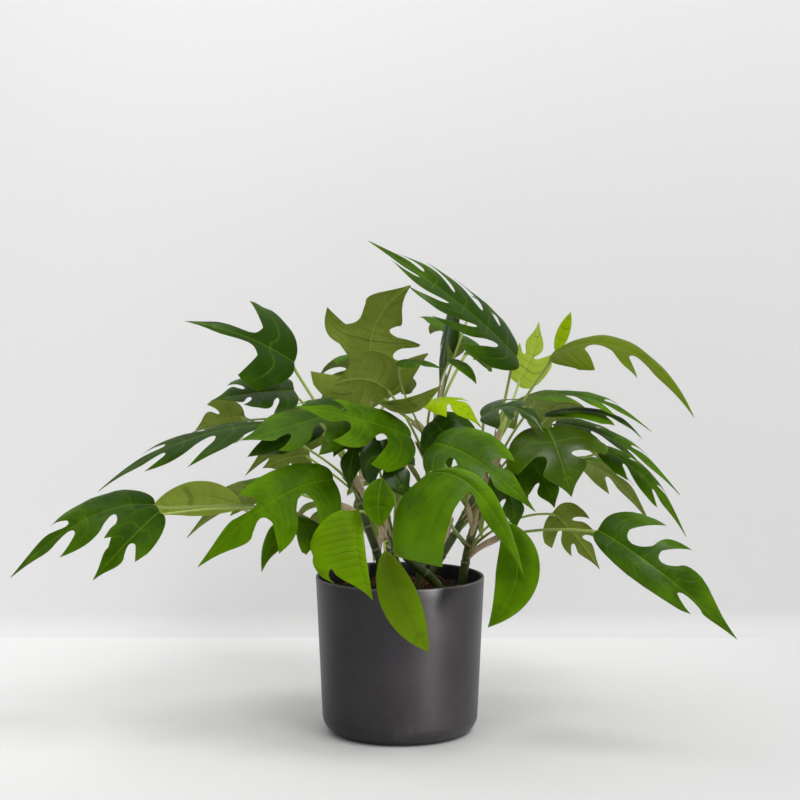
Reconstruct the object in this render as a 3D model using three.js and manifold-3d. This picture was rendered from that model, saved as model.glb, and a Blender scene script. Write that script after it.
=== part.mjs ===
// Mini monstera (Rhaphidophora tetrasperma) growing in a charcoal cover pot.
// Millimetres, +Z up. The origin is the middle of the pot's foot and the plant's front faces -Y.
import * as THREE from "three";
import { mergeVertices } from "three/addons/utils/BufferGeometryUtils.js";
import Module from "manifold-3d";

const wasm = await Module();
wasm.setup();

// Driving dimensions
const CLEARANCE = 0.3; // left between pieces that touch

const POT_HEIGHT = 168;
const POT_RIM_RADIUS = 90;
const POT_FOOT_RADIUS = 82.5; // where the straight side would meet the ground
const POT_EDGE_ROUND = 19; // radius of the rounded lower edge
const POT_WALL = 3;
const POT_FLOOR = 4;
const LIP_CHAMFER = 0.8;
const EDGE_STEPS = 3; // facets of the rounded edge
const POT_SIDES = 30;

const SOIL_LEVEL = 151;
const SOIL_BUMP = 1.6;
const HOLE_DEPTH = 30; // how far a cane goes down into the soil
const HOLE_END = 4; // length of the plain hole's closed lower end

const BLADE = 0.8; // thickness of a leaf
const RIB = 0.8; // how far the midrib stands out under a leaf
// Rows of a blade: its midrib, the inner end of its cuts, and on to its apexes.
const LOBE_STEPS = [0, 0, 0.42, 0.8, 1];
const WHOLE_STEPS = [0, 0.5, 1]; // rows of a half without cuts, from the midrib to the margin
const CUT_COLUMNS = { 1: 6, 2: 3 }; // strips in each lobe, by the number of lobes
const MANY_CUTS_COLUMNS = 2;

// The outline of half a leaf is a cubic curve from its base notch to its tip. Its handles are given as
// [along, out]: shares of the midrib and of the half-width.
const BASE_HANDLE = [-0.2, 1.05];
const TIP_HANDLE = [0.42, 1.6];
const DRIP_TIP = { from: 0.66, to: 0.97, narrowing: 0.62 }; // the stretch where it narrows to the tip

const FIRST_VEIN = 0.2; // where on the margin the vein from the midrib's base ends
const VEIN_SPREAD = 0.6; // below 1, the first veins fan out wider than the last
const VEIN_BEND = { along: 0.12, out: 0.56 }; // the bend of a vein, as shares of its way to the margin
const LEAN_START = 0.3; // how much of the lobes' lean the first lobe has
const LOBE_POINT = 1.3; // above 1, lobes end in a point
// A half without cuts is broadest at its peak. Its breadth there is a share of the half-width.
const WHOLE_HALF = { peak: 0.4, fullness: 1.1, breadth: 0.8, lean: 0.25 };
const CUT_ROUND = 0.25; // the rounded inner end of a cut, as a share of its length
const WAVES = 9; // radians of wave from the base of a blade to its tip

// The usual shape of a leaf.
const USUAL = {
  fold: 12, // degrees by which each half rises from the midrib
  hang: 40, // degrees by which it then bends down to its margin
  turn: 0, // degrees of twist from base to tip
  steady: 0, // 0 lets the lobes fan out where the midrib bends, 1 keeps them parallel
  deep: 0.24, // where a cut ends inwards, from 0 at the midrib to 1 at the margin
  gap: 0.045, // half of a cut's width, as a share of the midrib
  closing: 0.4, // how much narrower a cut is at the margin
  blunt: 3.6, // how long a lobe keeps its breadth
  apex: 0.94, // where a lobe's apex lies, from 0 at its rear edge to 1 at its front edge
  sweep: 0.34, // how far the lobes lean towards the tip
  curl: 0.1, // how far a lobe's apex bends down, as a share of the half-width
  wave: 0.05, // height of the waves of the blade, as a share of the half-width
  rightShare: 1, // breadth of each half
  leftShare: 1,
  right: [], // length of each half's lobes, from the base on, where it isn't the usual one
  left: [],
  rightWhole: [], // cuts that a half doesn't have
  leftWhole: [],
  rise: 0.7, // how steeply the petiole leaves its cane
  hook: 20, // length of the bend at the petiole's upper end
};
const LAST_CUT = 0.84; // the cuts meet the midrib from its base up to about here
const TIP_LOBE = 0.2; // how much less of the midrib the last lobe has
const VARIETY = { cut: 0.02, deep: 0.07, gap: 0.3, reach: 0.08, lift: 0.09 }; // how much lobes differ
const SEEDS = { wave: 7, deep: 11, gap: 21, reach: 31, lift: 41, side: 40 }; // and their own numbers
const CANE_RADIUS = 5;
const CANE_SIDES = 6;
const PETIOLE_RADIUS = 1.6;
const PETIOLE_SIDES = 5;
const PETIOLE_STEPS = 4;
const PETIOLE_HANDLE = 0.4; // how far a petiole keeps its first direction, as a share of its span
const ARRIVAL = THREE.MathUtils.degToRad(38); // angle between a petiole's end and the blade it carries

// Points of the plant are given as [across, height, depth], as sighted from this point in front of
// the pot: across and height are where the line of sight passes the pot's axis plane, and depth is
// the point's own y.
const SIGHT_DISTANCE = 2168;
const SIGHT_HEIGHT = 542;

// Colours
const potMaterial = new THREE.MeshStandardMaterial({ color: 0x3f3f43, roughness: 0.5, metalness: 0 });
const soilMaterial = new THREE.MeshStandardMaterial({ color: 0x2e1b12, roughness: 1, metalness: 0 });
const stemMaterial = new THREE.MeshStandardMaterial({ color: 0x62712f, roughness: 0.5, metalness: 0 });
const leafMaterial = new THREE.MeshStandardMaterial({ color: 0x3f7512, roughness: 0.35, metalness: 0 });

const UP = new THREE.Vector3(0, 0, 1);

function sighted([across, height, depth]) {
  const scale = 1 + depth / SIGHT_DISTANCE;
  return new THREE.Vector3(across * scale, depth, SIGHT_HEIGHT + (height - SIGHT_HEIGHT) * scale);
}

// A repeatable number between -1 and 1 for the k-th detail of the n-th leaf.
function jitter(n, k) {
  const wave = Math.sin(n * 12.9898 + k * 78.233) * 43758.5453;
  return 2 * (wave - Math.floor(wave)) - 1;
}

function smoothstep(from, to, x) {
  const t = Math.min(1, Math.max(0, (x - from) / (to - from)));
  return t * t * (3 - 2 * t);
}

function solidOf(geometry) {
  const bare = geometry.index ? geometry.toNonIndexed() : geometry.clone();
  const onlyPlaces = new THREE.BufferGeometry().setAttribute("position", bare.getAttribute("position"));
  const merged = mergeVertices(onlyPlaces, 1e-4);
  return new wasm.Manifold(
    new wasm.Mesh({
      numProp: 3,
      vertProperties: merged.attributes.position.array,
      triVerts: new Uint32Array(merged.index.array),
    }),
  );
}

function geometryOf(solid) {
  const mesh = solid.getMesh();
  const geometry = new THREE.BufferGeometry();
  geometry.setAttribute("position", new THREE.BufferAttribute(mesh.vertProperties, 3));
  geometry.setIndex(new THREE.BufferAttribute(mesh.triVerts, 1));
  geometry.computeVertexNormals();
  return geometry;
}

// A closed round tube of a given radius along a curve.
function tubeAlong(curve, radius, sides, steps) {
  const section = new THREE.Shape();
  for (let i = 0; i < sides; i++) {
    const angle = (2 * Math.PI * i) / sides;
    const place = [radius * Math.cos(angle), radius * Math.sin(angle)];
    if (i) section.lineTo(...place);
    else section.moveTo(...place);
  }
  section.closePath();
  return new THREE.ExtrudeGeometry(section, { steps, extrudePath: curve, bevelEnabled: false });
}

// Outer radius of the pot's straight side at a height, for a wall inset by a distance.
function sideRadius(height, inset) {
  return POT_FOOT_RADIUS + ((POT_RIM_RADIUS - POT_FOOT_RADIUS) * height) / POT_HEIGHT - inset;
}

// The rounded lower edge, from the flat foot up to the straight side.
function roundedEdge(inset, floor, radius, steps) {
  const points = [];
  for (let i = 0; i <= steps; i++) {
    const angle = (Math.PI / 2) * (i / steps);
    const across = sideRadius(floor + radius, inset) - radius + radius * Math.sin(angle);
    points.push(new THREE.Vector2(across, floor + radius - radius * Math.cos(angle)));
  }
  return points;
}

function makePot() {
  const outside = roundedEdge(0, 0, POT_EDGE_ROUND, EDGE_STEPS);
  const inside = roundedEdge(POT_WALL, POT_FLOOR, POT_EDGE_ROUND - POT_WALL, EDGE_STEPS).reverse();
  const lip = [
    new THREE.Vector2(POT_RIM_RADIUS, POT_HEIGHT - LIP_CHAMFER),
    new THREE.Vector2(POT_RIM_RADIUS - LIP_CHAMFER, POT_HEIGHT),
    new THREE.Vector2(POT_RIM_RADIUS - POT_WALL + LIP_CHAMFER, POT_HEIGHT),
    new THREE.Vector2(POT_RIM_RADIUS - POT_WALL, POT_HEIGHT - LIP_CHAMFER),
  ];
  const profile = [new THREE.Vector2(0, 0), ...outside, ...lip, ...inside, new THREE.Vector2(0, POT_FLOOR)];
  const pot = new THREE.LatheGeometry(profile, POT_SIDES);
  pot.rotateX(Math.PI / 2);
  return pot;
}

// The bumps of the soil's top: crossed waves, each about 30 to 70 mm long.
function soilBump(x, y) {
  return Math.sin(x / 9 + 1) * Math.cos(y / 11) + 0.5 * Math.sin(x / 5 - y / 6);
}

// The soil fills the pot and has a bumpy top, with a plain hole for each cane.
function makeSoil(holes) {
  const base = POT_FLOOR + CLEARANCE;
  const wall = POT_WALL + CLEARANCE;
  const side = roundedEdge(wall, base, POT_EDGE_ROUND - wall, EDGE_STEPS);
  const edge = sideRadius(SOIL_LEVEL, wall);
  const top = [1, 0.6].map((share) => new THREE.Vector2(edge * share, SOIL_LEVEL));
  const profile = [new THREE.Vector2(0, base), ...side, ...top, new THREE.Vector2(0, SOIL_LEVEL)];
  const soil = new THREE.LatheGeometry(profile, POT_SIDES);
  soil.rotateX(Math.PI / 2);
  const places = soil.attributes.position;
  for (let i = 0; i < places.count; i++) {
    const onTop = Math.abs(places.getZ(i) - SOIL_LEVEL) < CLEARANCE;
    if (onTop) places.setZ(i, SOIL_LEVEL + SOIL_BUMP * soilBump(places.getX(i), places.getY(i)));
  }
  return holes.reduce((solid, hole) => solid.subtract(hole), solidOf(soil));
}

// A point of a half's outline, from the base notch (0) to the tip (1), as [along, out].
function margin(s) {
  const nearBase = 3 * s * (1 - s) * (1 - s);
  const nearTip = 3 * s * s * (1 - s);
  const along = nearBase * BASE_HANDLE[0] + nearTip * TIP_HANDLE[0] + s * s * s;
  const out = nearBase * BASE_HANDLE[1] + nearTip * TIP_HANDLE[1];
  return [along, out * (1 - DRIP_TIP.narrowing * smoothstep(DRIP_TIP.from, DRIP_TIP.to, along))];
}

// A side vein leaves the midrib at m, bends forward and reaches the margin at r = 1.
function vein(m, r) {
  const [along, out] = margin(FIRST_VEIN + (1 - FIRST_VEIN) * Math.pow(m, VEIN_SPREAD));
  const bendAlong = m + VEIN_BEND.along * (along - m);
  const bendOut = VEIN_BEND.out * out;
  const a = (1 - r) * (1 - r);
  const b = 2 * r * (1 - r);
  const c = r * r;
  return [a * m + b * bendAlong + c * along, b * bendOut + c * out];
}

// A point of a half without cuts: m along the midrib, x of the way out to the margin.
function wholePoint(m, x) {
  const { peak, fullness, breadth, lean } = WHOLE_HALF;
  const beforePeak = Math.pow(m / peak, (fullness * peak) / (1 - peak));
  const afterPeak = Math.pow((1 - m) / (1 - peak), fullness);
  return [m + lean * x * m * (1 - m), breadth * x * beforePeak * afterPeak];
}

// How wide a cut stands open at x, from its rounded inner end (0) to the margin (1).
function opening(x, closing) {
  return Math.sqrt(Math.min(1, x / CUT_ROUND)) * (1 - closing * x);
}

// The part of its breadth that a lobe still has at x, on its way from 1 to nothing at its apex.
function breadth(x, blunt) {
  return Math.pow(1 - Math.pow(x, blunt), LOBE_POINT);
}

// The midrib of a leaf: a curve through its three points, and the frame that the blade is laid on.
// roll turns the upper face: 0 faces the sighting point, 90 faces up and 180 shows the underside.
function midribOf(leaf) {
  const [base, middle, tip] = [leaf.base, leaf.middle, leaf.tip].map(sighted);
  const control = middle.clone().multiplyScalar(2).sub(base.clone().add(tip).multiplyScalar(0.5));
  const chord = tip.clone().sub(base).normalize();
  const eye = new THREE.Vector3(0, -SIGHT_DISTANCE, SIGHT_HEIGHT).sub(middle).normalize();
  const facing = eye.clone().addScaledVector(chord, -eye.dot(chord)).normalize();
  const rising = new THREE.Vector3().crossVectors(chord, facing);
  if (rising.z < 0) rising.negate();
  return { base, control, tip, chord, facing, rising };
}

function midribFrame(leaf, rib, u) {
  const place = rib.base.clone().multiplyScalar((1 - u) * (1 - u));
  place.addScaledVector(rib.control, 2 * u * (1 - u)).addScaledVector(rib.tip, u * u);
  const along = rib.control.clone().sub(rib.base).multiplyScalar(1 - u);
  along.addScaledVector(rib.tip.clone().sub(rib.control), u).normalize();
  const roll = THREE.MathUtils.degToRad(leaf.roll + leaf.turn * (u - 0.5));
  const normal = rib.facing.clone().multiplyScalar(Math.cos(roll));
  normal.addScaledVector(rib.rising, Math.sin(roll));
  normal.addScaledVector(along, -normal.dot(along)).normalize();
  const onward = along.clone().lerp(rib.chord, leaf.steady);
  const right = onward.cross(normal).normalize();
  return { place, along, normal, right };
}

// A blade's point and its normal: u along the midrib, out in millimetres to the side (+1 is the right
// half), and lift in millimetres above the plain surface. The halves rise by the fold and then hang.
function bladePoint(leaf, rib, u, side, out, lift) {
  const { place, normal, right } = midribFrame(leaf, rib, u);
  const fold = THREE.MathUtils.degToRad(leaf.fold);
  const bend = THREE.MathUtils.degToRad(leaf.hang) / leaf.width;
  const slope = fold - bend * out;
  const across = (Math.sin(fold) - Math.sin(slope)) / bend;
  const rise = (Math.cos(slope) - Math.cos(fold)) / bend;
  const tilt = out > 0 ? slope : 0;
  const upward = normal.clone().multiplyScalar(Math.cos(tilt)).addScaledVector(right, -side * Math.sin(tilt));
  place.addScaledVector(right, side * across).addScaledVector(normal, rise + lift);
  return { place, upward, u };
}

// Where the cuts of a leaf meet its midrib, from 0 at the base to 1 at the tip.
function cutPlaces(leaf) {
  const places = [0];
  for (let k = 1; k < leaf.lobes; k++) {
    places.push((LAST_CUT * k) / (leaf.lobes - TIP_LOBE) + VARIETY.cut * jitter(leaf.number, k));
  }
  return [...places, 1];
}

// One half of a leaf as a list of grids, one for each lobe. A lobe is a ribbon that runs out along the
// side veins. It shares its edges with its neighbours up to the inner end of the cut between them. The
// cuts that a half leaves whole join two of its lobes.
function halfBlade(leaf, rib, side, columns) {
  const { lobes, deep, gap, closing, blunt, sweep, curl, wave } = leaf;
  const [share, lengths, whole] = side > 0
    ? [leaf.rightShare, leaf.right, leaf.rightWhole]
    : [leaf.leftShare, leaf.left, leaf.leftWhole];
  const cuts = cutPlaces(leaf);
  const made = cuts.map((_, k) => k).filter((k) => !whole.includes(k));
  const draw = (k) => jitter(leaf.number + SEEDS.side * side, k);
  const isCut = (k) => k > 0 && k < lobes;
  const depthOf = (k) => (isCut(k) ? deep + VARIETY.deep * draw(k + SEEDS.deep) : deep);
  const gapOf = (k) => (isCut(k) ? gap * (1 + VARIETY.gap * draw(k + SEEDS.gap)) : 0);
  const grids = [];
  for (let n = 0; n + 1 < made.length; n++) {
    const [k, next] = [made[n], made[n + 1]];
    const reach = lengths[k] ?? 1 + VARIETY.reach * draw(k + SEEDS.reach);
    const apex = next === lobes ? 1 : leaf.apex;
    const apexLift = leaf.width * (VARIETY.lift * draw(k + SEEDS.lift) - curl);
    const isWhole = k === 0 && next === lobes;
    const lean = (a) => sweep * (k === 0 ? a : 1);
    const grid = [];
    for (let i = 0; i <= (next - k) * columns; i++) {
      const lobe = Math.min(k + Math.floor(i / columns), next - 1);
      const place = cuts[lobe] + (cuts[lobe + 1] - cuts[lobe]) * (i / columns - (lobe - k));
      const a = (place - cuts[k]) / (cuts[next] - cuts[k]);
      const inner = depthOf(k) * (1 - a) + depthOf(next) * a;
      const lobePoint = (x, j) => {
        const r = j === 0 ? 0 : inner + (reach - inner) * x;
        const from = cuts[k] + gapOf(k) * opening(x, closing);
        const to = cuts[next] - gapOf(next) * opening(x, closing);
        const straight = from + (to - from) * (apex + (a - apex) * breadth(x, blunt));
        return vein(straight + lean(a) * x * (straight + LEAN_START) * (1 - straight), r);
      };
      const line = (isWhole ? WHOLE_STEPS : LOBE_STEPS).map((x, j) => {
        const [u, out] = isWhole ? wholePoint(place, x) : lobePoint(x, j);
        const waveLift = wave * leaf.width * Math.sin(WAVES * u + 5 * draw(SEEDS.wave)) * out * out;
        const lift = waveLift + apexLift * x * x * out;
        return bladePoint(leaf, rib, u, side, out * leaf.width * share, lift);
      });
      grid.push(line);
    }
    grids.push(grid);
  }
  return grids;
}

// Points nearer than a hundredth of a millimetre are one point.
function keyOf({ place }) {
  return place.toArray().map((value) => Math.round(value * 100)).join();
}

function spanOf(one, other) {
  return one.place.distanceTo(other.place);
}

// The grids of a leaf's two halves joined into one sheet of triangles, which split each cell along its
// shorter diagonal.
function sheetOf(halves) {
  const points = [];
  const numbers = new Map();
  const numberOf = (point) => {
    const key = keyOf(point);
    if (!numbers.has(key)) numbers.set(key, points.push(point) - 1);
    return numbers.get(key);
  };
  const faces = [];
  const addFace = (a, b, c, turned) => {
    if (a !== b && b !== c && a !== c) faces.push(turned ? [a, c, b] : [a, b, c]);
  };
  for (const { side, grids } of halves) {
    for (const grid of grids) {
      for (let i = 0; i + 1 < grid.length; i++) {
        for (let j = 0; j + 1 < grid[i].length; j++) {
          const corners = [grid[i][j], grid[i][j + 1], grid[i + 1][j + 1], grid[i + 1][j]];
          const [a, b, c, d] = corners.map(numberOf);
          const [acSpan, bdSpan] = [spanOf(corners[0], corners[2]), spanOf(corners[1], corners[3])];
          addFace(a, b, acSpan < bdSpan ? c : d, side < 0);
          addFace(acSpan < bdSpan ? a : b, c, d, side < 0);
        }
      }
    }
  }
  return { points, faces };
}

// A solid blade round a sheet: both faces are split alike, free edges get walls, and the midrib stands
// out underneath, less and less towards the tip.
function makeLeaf(leaf) {
  const rib = midribOf(leaf);
  const columns = CUT_COLUMNS[leaf.lobes] ?? MANY_CUTS_COLUMNS;
  const halves = [-1, 1].map((side) => ({ side, grids: halfBlade(leaf, rib, side, columns) }));
  const { points, faces } = sheetOf(halves);
  const onRib = new Set(halves.flatMap(({ grids }) => grids.flat().map(([start]) => keyOf(start))));
  const upper = points.map(({ place, upward }) => place.clone().addScaledVector(upward, BLADE / 2));
  const lower = points.map((point) => {
    const below = BLADE / 2 + (onRib.has(keyOf(point)) ? RIB * (1 - point.u) : 0);
    return point.place.clone().addScaledVector(point.upward, -below);
  });
  const places = [];
  const addFace = (...corners) => corners.forEach((corner) => places.push(...corner.toArray()));
  const edges = new Set(faces.flatMap(([a, b, c]) => [`${a},${b}`, `${b},${c}`, `${c},${a}`]));
  for (const [a, b, c] of faces) {
    addFace(upper[a], upper[b], upper[c]);
    addFace(lower[a], lower[c], lower[b]);
    for (const [from, to] of [[a, b], [b, c], [c, a]]) {
      if (edges.has(`${to},${from}`)) continue;
      addFace(upper[from], lower[from], lower[to]);
      addFace(upper[from], lower[to], upper[to]);
    }
  }
  const geometry = new THREE.BufferGeometry();
  geometry.setAttribute("position", new THREE.Float32BufferAttribute(places, 3));
  return geometry;
}

// The plain hole in the soil that a cane stands in, with clearance round it and below it.
function holeOf(curve, steps) {
  const radius = CANE_RADIUS + CLEARANCE;
  const end = new THREE.CylinderGeometry(radius, radius, HOLE_END, CANE_SIDES);
  end.rotateX(Math.PI / 2);
  end.translate(...curve.getPoint(0).toArray());
  return solidOf(tubeAlong(curve, radius, CANE_SIDES, steps)).add(solidOf(end));
}

// A cane as a curve that starts down in the soil.
function caneCurve(points) {
  const places = points.map(sighted);
  const foot = places[0].clone();
  foot.z = SOIL_LEVEL - HOLE_DEPTH;
  return new THREE.CatmullRomCurve3([foot, ...places]);
}

// A petiole leaves its cane upwards, arches over and meets its blade from below, just clear of the rib.
function petioleCurve(leaf, cane) {
  const rib = midribOf(leaf);
  const { place, along, normal } = midribFrame(leaf, rib, 0);
  const arrival = along.clone().multiplyScalar(Math.cos(ARRIVAL)).addScaledVector(normal, Math.sin(ARRIVAL));
  const drop = BLADE / 2 + RIB + CLEARANCE + PETIOLE_RADIUS * Math.cos(ARRIVAL);
  const end = place.addScaledVector(normal, -drop).addScaledVector(along, PETIOLE_RADIUS);
  const start = cane.getPointAt(leaf.at);
  const span = start.distanceTo(end);
  const leaving = end.clone().sub(start).normalize().addScaledVector(UP, leaf.rise).normalize();
  const first = start.clone().addScaledVector(leaving, span * PETIOLE_HANDLE);
  const last = end.clone().addScaledVector(arrival, -Math.min(leaf.hook, span * PETIOLE_HANDLE));
  return new THREE.CubicBezierCurve3(start, first, last, end);
}

// Each cane climbs out of the soil through these points.
const CANES = {
  cane_left: [[43, 152, -20], [13, 182, -28], [-5, 201, -22], [-28, 232, -12], [-45, 262, -4]],
  cane_right: [[66, 152, -10], [75, 206, -12], [88, 245, -8], [98, 275, 0]],
  cane_centre: [[21, 157, 20], [27, 228, 28], [32, 285, 30], [38, 330, 28]],
  cane_back_left: [[-16, 163, 45], [-37, 228, 60], [-50, 275, 72]],
  cane_back_right: [[32, 163, 55], [60, 215, 75], [80, 255, 85]],
  cane_front: [[0, 157, -50], [-5, 184, -62], [-16, 206, -68]],
  cane_low_left: [[-37, 154, -20], [-53, 179, -30], [-69, 201, -35], [-83, 217, -38]],
};

// Every leaf: the cane it grows on and how far along, the three points of its midrib, its half-width, its
// roll, and its lobes on each side. Other values change the usual shape.
const LEAVES = [
  {
    name: "leaf_top", cane: "cane_right", at: 1.0,
    base: [124, 402, 0], middle: [58, 462, -32], tip: [-34, 525, -20],
    width: 50, roll: 55, lobes: 5, leftShare: 0.9, deep: 0.26, gap: 0.035, closing: 0.6, sweep: 0.5,
  },
  {
    name: "leaf_upper_back", cane: "cane_centre", at: 0.9,
    base: [-16, 356, 58], middle: [-30, 424, 65], tip: [12, 478, 44],
    width: 70, roll: 180, lobes: 3, deep: 0.26, gap: 0.075, closing: 0.1, sweep: 0.15,
  },
  {
    name: "leaf_upper_left", cane: "cane_left", at: 0.98,
    base: [-112, 396, 18], middle: [-165, 424, -10], tip: [-228, 440, -32],
    width: 54, roll: 40, lobes: 2, hang: 20, left: [1, 0.45], right: [1, 0.45], deep: 0.12,
    gap: 0.15, closing: -0.3, blunt: 3.2, sweep: 0.5,
  },
  {
    name: "leaf_left_high", cane: "cane_back_left", at: 0.95,
    base: [-112, 366, 34], middle: [-152, 364, 18], tip: [-199, 356, -6],
    width: 42, roll: 54, lobes: 3, hang: 30, deep: 0.3, gap: 0.05, closing: 0.85, blunt: 6,
    apex: 0.95,
  },
  {
    name: "leaf_left_behind", cane: "cane_left", at: 0.92,
    base: [-165, 340, 32], middle: [-191, 335, 39], tip: [-218, 324, 39],
    width: 30, roll: 150, lobes: 2,
  },
  {
    name: "leaf_left_long", cane: "cane_left", at: 0.86,
    base: [-85, 329, -31], middle: [-213, 318, -61], tip: [-322, 258, -52],
    width: 48, roll: 64, lobes: 4, fold: 4, rightShare: 0.75, deep: 0.2, gap: 0.05, closing: 0.2,
  },
  {
    name: "leaf_left_front", cane: "cane_left", at: 0.78,
    base: [-58, 348, -58], middle: [-112, 329, -81], tip: [-170, 313, -98],
    width: 46, roll: 50, lobes: 3, rightWhole: [2], gap: 0.06, closing: 0.8,
  },
  {
    name: "leaf_middle_left", cane: "cane_left", at: 0.6,
    base: [12, 316, -75], middle: [-44, 336, -112], tip: [-112, 350, -130],
    width: 50, roll: 45, lobes: 3, leftShare: 1.1, rightShare: 0.6, rightWhole: [1], deep: 0.16,
    gap: 0.07,
  },
  {
    name: "leaf_middle_right", cane: "cane_right", at: 0.62,
    base: [36, 310, -114], middle: [84, 290, -146], tip: [145, 236, -151],
    width: 46, roll: 28, lobes: 3, leftWhole: [1], deep: 0.18, gap: 0.06, closing: 0.6,
  },
  {
    name: "leaf_front_middle", cane: "cane_right", at: 0.5,
    base: [30, 278, -179], middle: [84, 256, -195], tip: [133, 165, -188],
    width: 84, roll: 10, lobes: 2, steady: 1, leftShare: 0.2, right: [1.3, 0.42], leftWhole: [1],
    deep: 0.1, gap: 0.06, closing: -0.2, blunt: 3.2, sweep: 0.7, rise: -0.2, hook: 30,
  },
  {
    name: "leaf_front_right", cane: "cane_right", at: 0.4,
    base: [112, 225, -120], middle: [125, 168, -136], tip: [94, 111, -133],
    width: 28, roll: 8, lobes: 1, blunt: 5.5,
  },
  {
    name: "leaf_right_inner", cane: "cane_right", at: 0.55,
    base: [107, 280, -55], middle: [119, 249, -68], tip: [123, 215, -73],
    width: 25, roll: 20, lobes: 2,
  },
  {
    name: "leaf_front_left", cane: "cane_front", at: 0.95,
    base: [-44, 238, -140], middle: [-46, 190, -159], tip: [-29, 141, -159],
    width: 46, roll: 10, lobes: 3, steady: 1, leftShare: 0.25, rightShare: 1, right: [1, 1.35, 1],
    leftWhole: [1, 2], deep: 0.76, gap: 0.03, closing: 0, sweep: 0.45,
  },
  {
    name: "leaf_low_left_behind", cane: "cane_low_left", at: 0.8,
    base: [-80, 217, -81], middle: [-123, 217, -104], tip: [-148, 171, -110],
    width: 34, roll: 35, lobes: 2, rightShare: 0.5, rightWhole: [1], deep: 0.14, gap: 0.12,
    closing: -0.1,
  },
  {
    name: "leaf_over_pot", cane: "cane_front", at: 0.9,
    base: [-16, 195, -135], middle: [2, 136, -151], tip: [32, 84, -146],
    width: 25, roll: 5, lobes: 1,
  },
  {
    name: "leaf_front_small", cane: "cane_front", at: 1.0,
    base: [-19, 273, -151], middle: [-23, 246, -159], tip: [-21, 220, -156],
    width: 20, roll: 0, lobes: 1,
  },
  {
    name: "leaf_low_left", cane: "cane_low_left", at: 0.9,
    base: [-71, 271, -86], middle: [-139, 246, -125], tip: [-217, 176, -135],
    width: 64, roll: 18, lobes: 3, rightShare: 0.5, rightWhole: [1], deep: 0.16, gap: 0.07,
    closing: 0.1, sweep: 0.2,
  },
  {
    name: "leaf_far_left", cane: "cane_low_left", at: 1.0,
    base: [-261, 244, -46], middle: [-336, 228, -72], tip: [-417, 165, -65],
    width: 48, roll: 45, lobes: 3, rightShare: 0.8, rightWhole: [1], deep: 0.16, gap: 0.06,
  },
  {
    name: "leaf_far_left_front", cane: "cane_low_left", at: 0.95,
    base: [-258, 236, -110], middle: [-294, 201, -146], tip: [-329, 162, -153],
    width: 26, roll: 20, lobes: 2, deep: 0.16, gap: 0.08,
  },
  {
    name: "leaf_far_left_behind", cane: "cane_low_left", at: 0.85,
    base: [-169, 240, 20], middle: [-216, 252, 21], tip: [-272, 232, 18],
    width: 27, roll: 155, lobes: 1,
  },
  {
    name: "leaf_left_inner", cane: "cane_left", at: 0.7,
    base: [-96, 297, 46], middle: [-120, 294, 58], tip: [-147, 283, 62],
    width: 28, roll: 160, lobes: 2,
  },
  {
    name: "leaf_middle_lime", cane: "cane_centre", at: 0.7,
    base: [32, 356, -46], middle: [58, 351, -68], tip: [87, 326, -75],
    width: 28, roll: 60, lobes: 2,
  },
  {
    name: "leaf_middle_glossy", cane: "cane_right", at: 0.9,
    base: [86, 338, -70], middle: [122, 348, -84], tip: [152, 322, -100],
    width: 32, roll: 60, lobes: 3,
  },
  {
    name: "leaf_right_star", cane: "cane_right", at: 0.75,
    base: [157, 326, -78], middle: [170, 295, -107], tip: [183, 252, -112],
    width: 62, roll: 20, lobes: 2, rightShare: 0.9, deep: 0.2, gap: 0.08, closing: 0.3, blunt: 3.6,
    apex: 0.95,
  },
  {
    name: "leaf_right_star_behind", cane: "cane_right", at: 0.62,
    base: [138, 292, -52], middle: [155, 267, -68], tip: [165, 240, -73],
    width: 26, roll: 20, lobes: 2,
  },
  {
    name: "leaf_right_fan_a", cane: "cane_right", at: 0.96,
    base: [143, 359, -34], middle: [204, 357, -55], tip: [268, 322, -62],
    width: 34, roll: 76, lobes: 3, hang: 28, leftWhole: [1], deep: 0.2,
  },
  {
    name: "leaf_right_fan_b", cane: "cane_right", at: 0.86,
    base: [154, 340, -39], middle: [213, 342, -57], tip: [258, 314, -62],
    width: 32, roll: 76, lobes: 3, rightWhole: [1],
  },
  {
    name: "leaf_right_fan_c", cane: "cane_right", at: 0.8,
    base: [165, 331, -13], middle: [231, 312, -32], tip: [299, 254, -39],
    width: 32, roll: 70, lobes: 3, hang: 25,
  },
  {
    name: "leaf_right_fan_d", cane: "cane_back_right", at: 0.75,
    base: [213, 303, 6], middle: [261, 273, -10], tip: [306, 209, -16],
    width: 26, roll: 58, lobes: 3,
  },
  {
    name: "leaf_upper_right", cane: "cane_back_right", at: 0.95,
    base: [159, 403, 29], middle: [239, 410, 8], tip: [313, 337, -3],
    width: 46, roll: 60, lobes: 3, leftShare: 0.55, right: [0.85, 1, 1], leftWhole: [1, 2],
    deep: 0.14, gap: 0.1, closing: -0.1,
  },
  {
    name: "leaf_upper_right_young", cane: "cane_back_right", at: 1.0,
    base: [165, 407, 81], middle: [173, 428, 86], tip: [181, 450, 88],
    width: 9, roll: 0, lobes: 1,
  },
  {
    name: "leaf_upper_right_lime", cane: "cane_right", at: 0.98,
    base: [124, 374, 65], middle: [140, 405, 75], tip: [147, 440, 83],
    width: 26, roll: 150, lobes: 2,
  },
  {
    name: "leaf_top_behind", cane: "cane_centre", at: 1.0,
    base: [58, 462, 91], middle: [48, 415, 101], tip: [42, 365, 99],
    width: 25, roll: 70, lobes: 2, hook: 60,
  },
  {
    name: "leaf_top_small", cane: "cane_centre", at: 0.93,
    base: [50, 399, -6], middle: [66, 393, -18], tip: [81, 373, -29],
    width: 14, roll: 60, lobes: 1,
  },
  {
    name: "leaf_middle_flat", cane: "cane_centre", at: 0.8,
    base: [-3, 396, -10], middle: [20, 396, -18], tip: [48, 388, -23],
    width: 18, roll: 70, lobes: 2,
  },
  {
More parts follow.
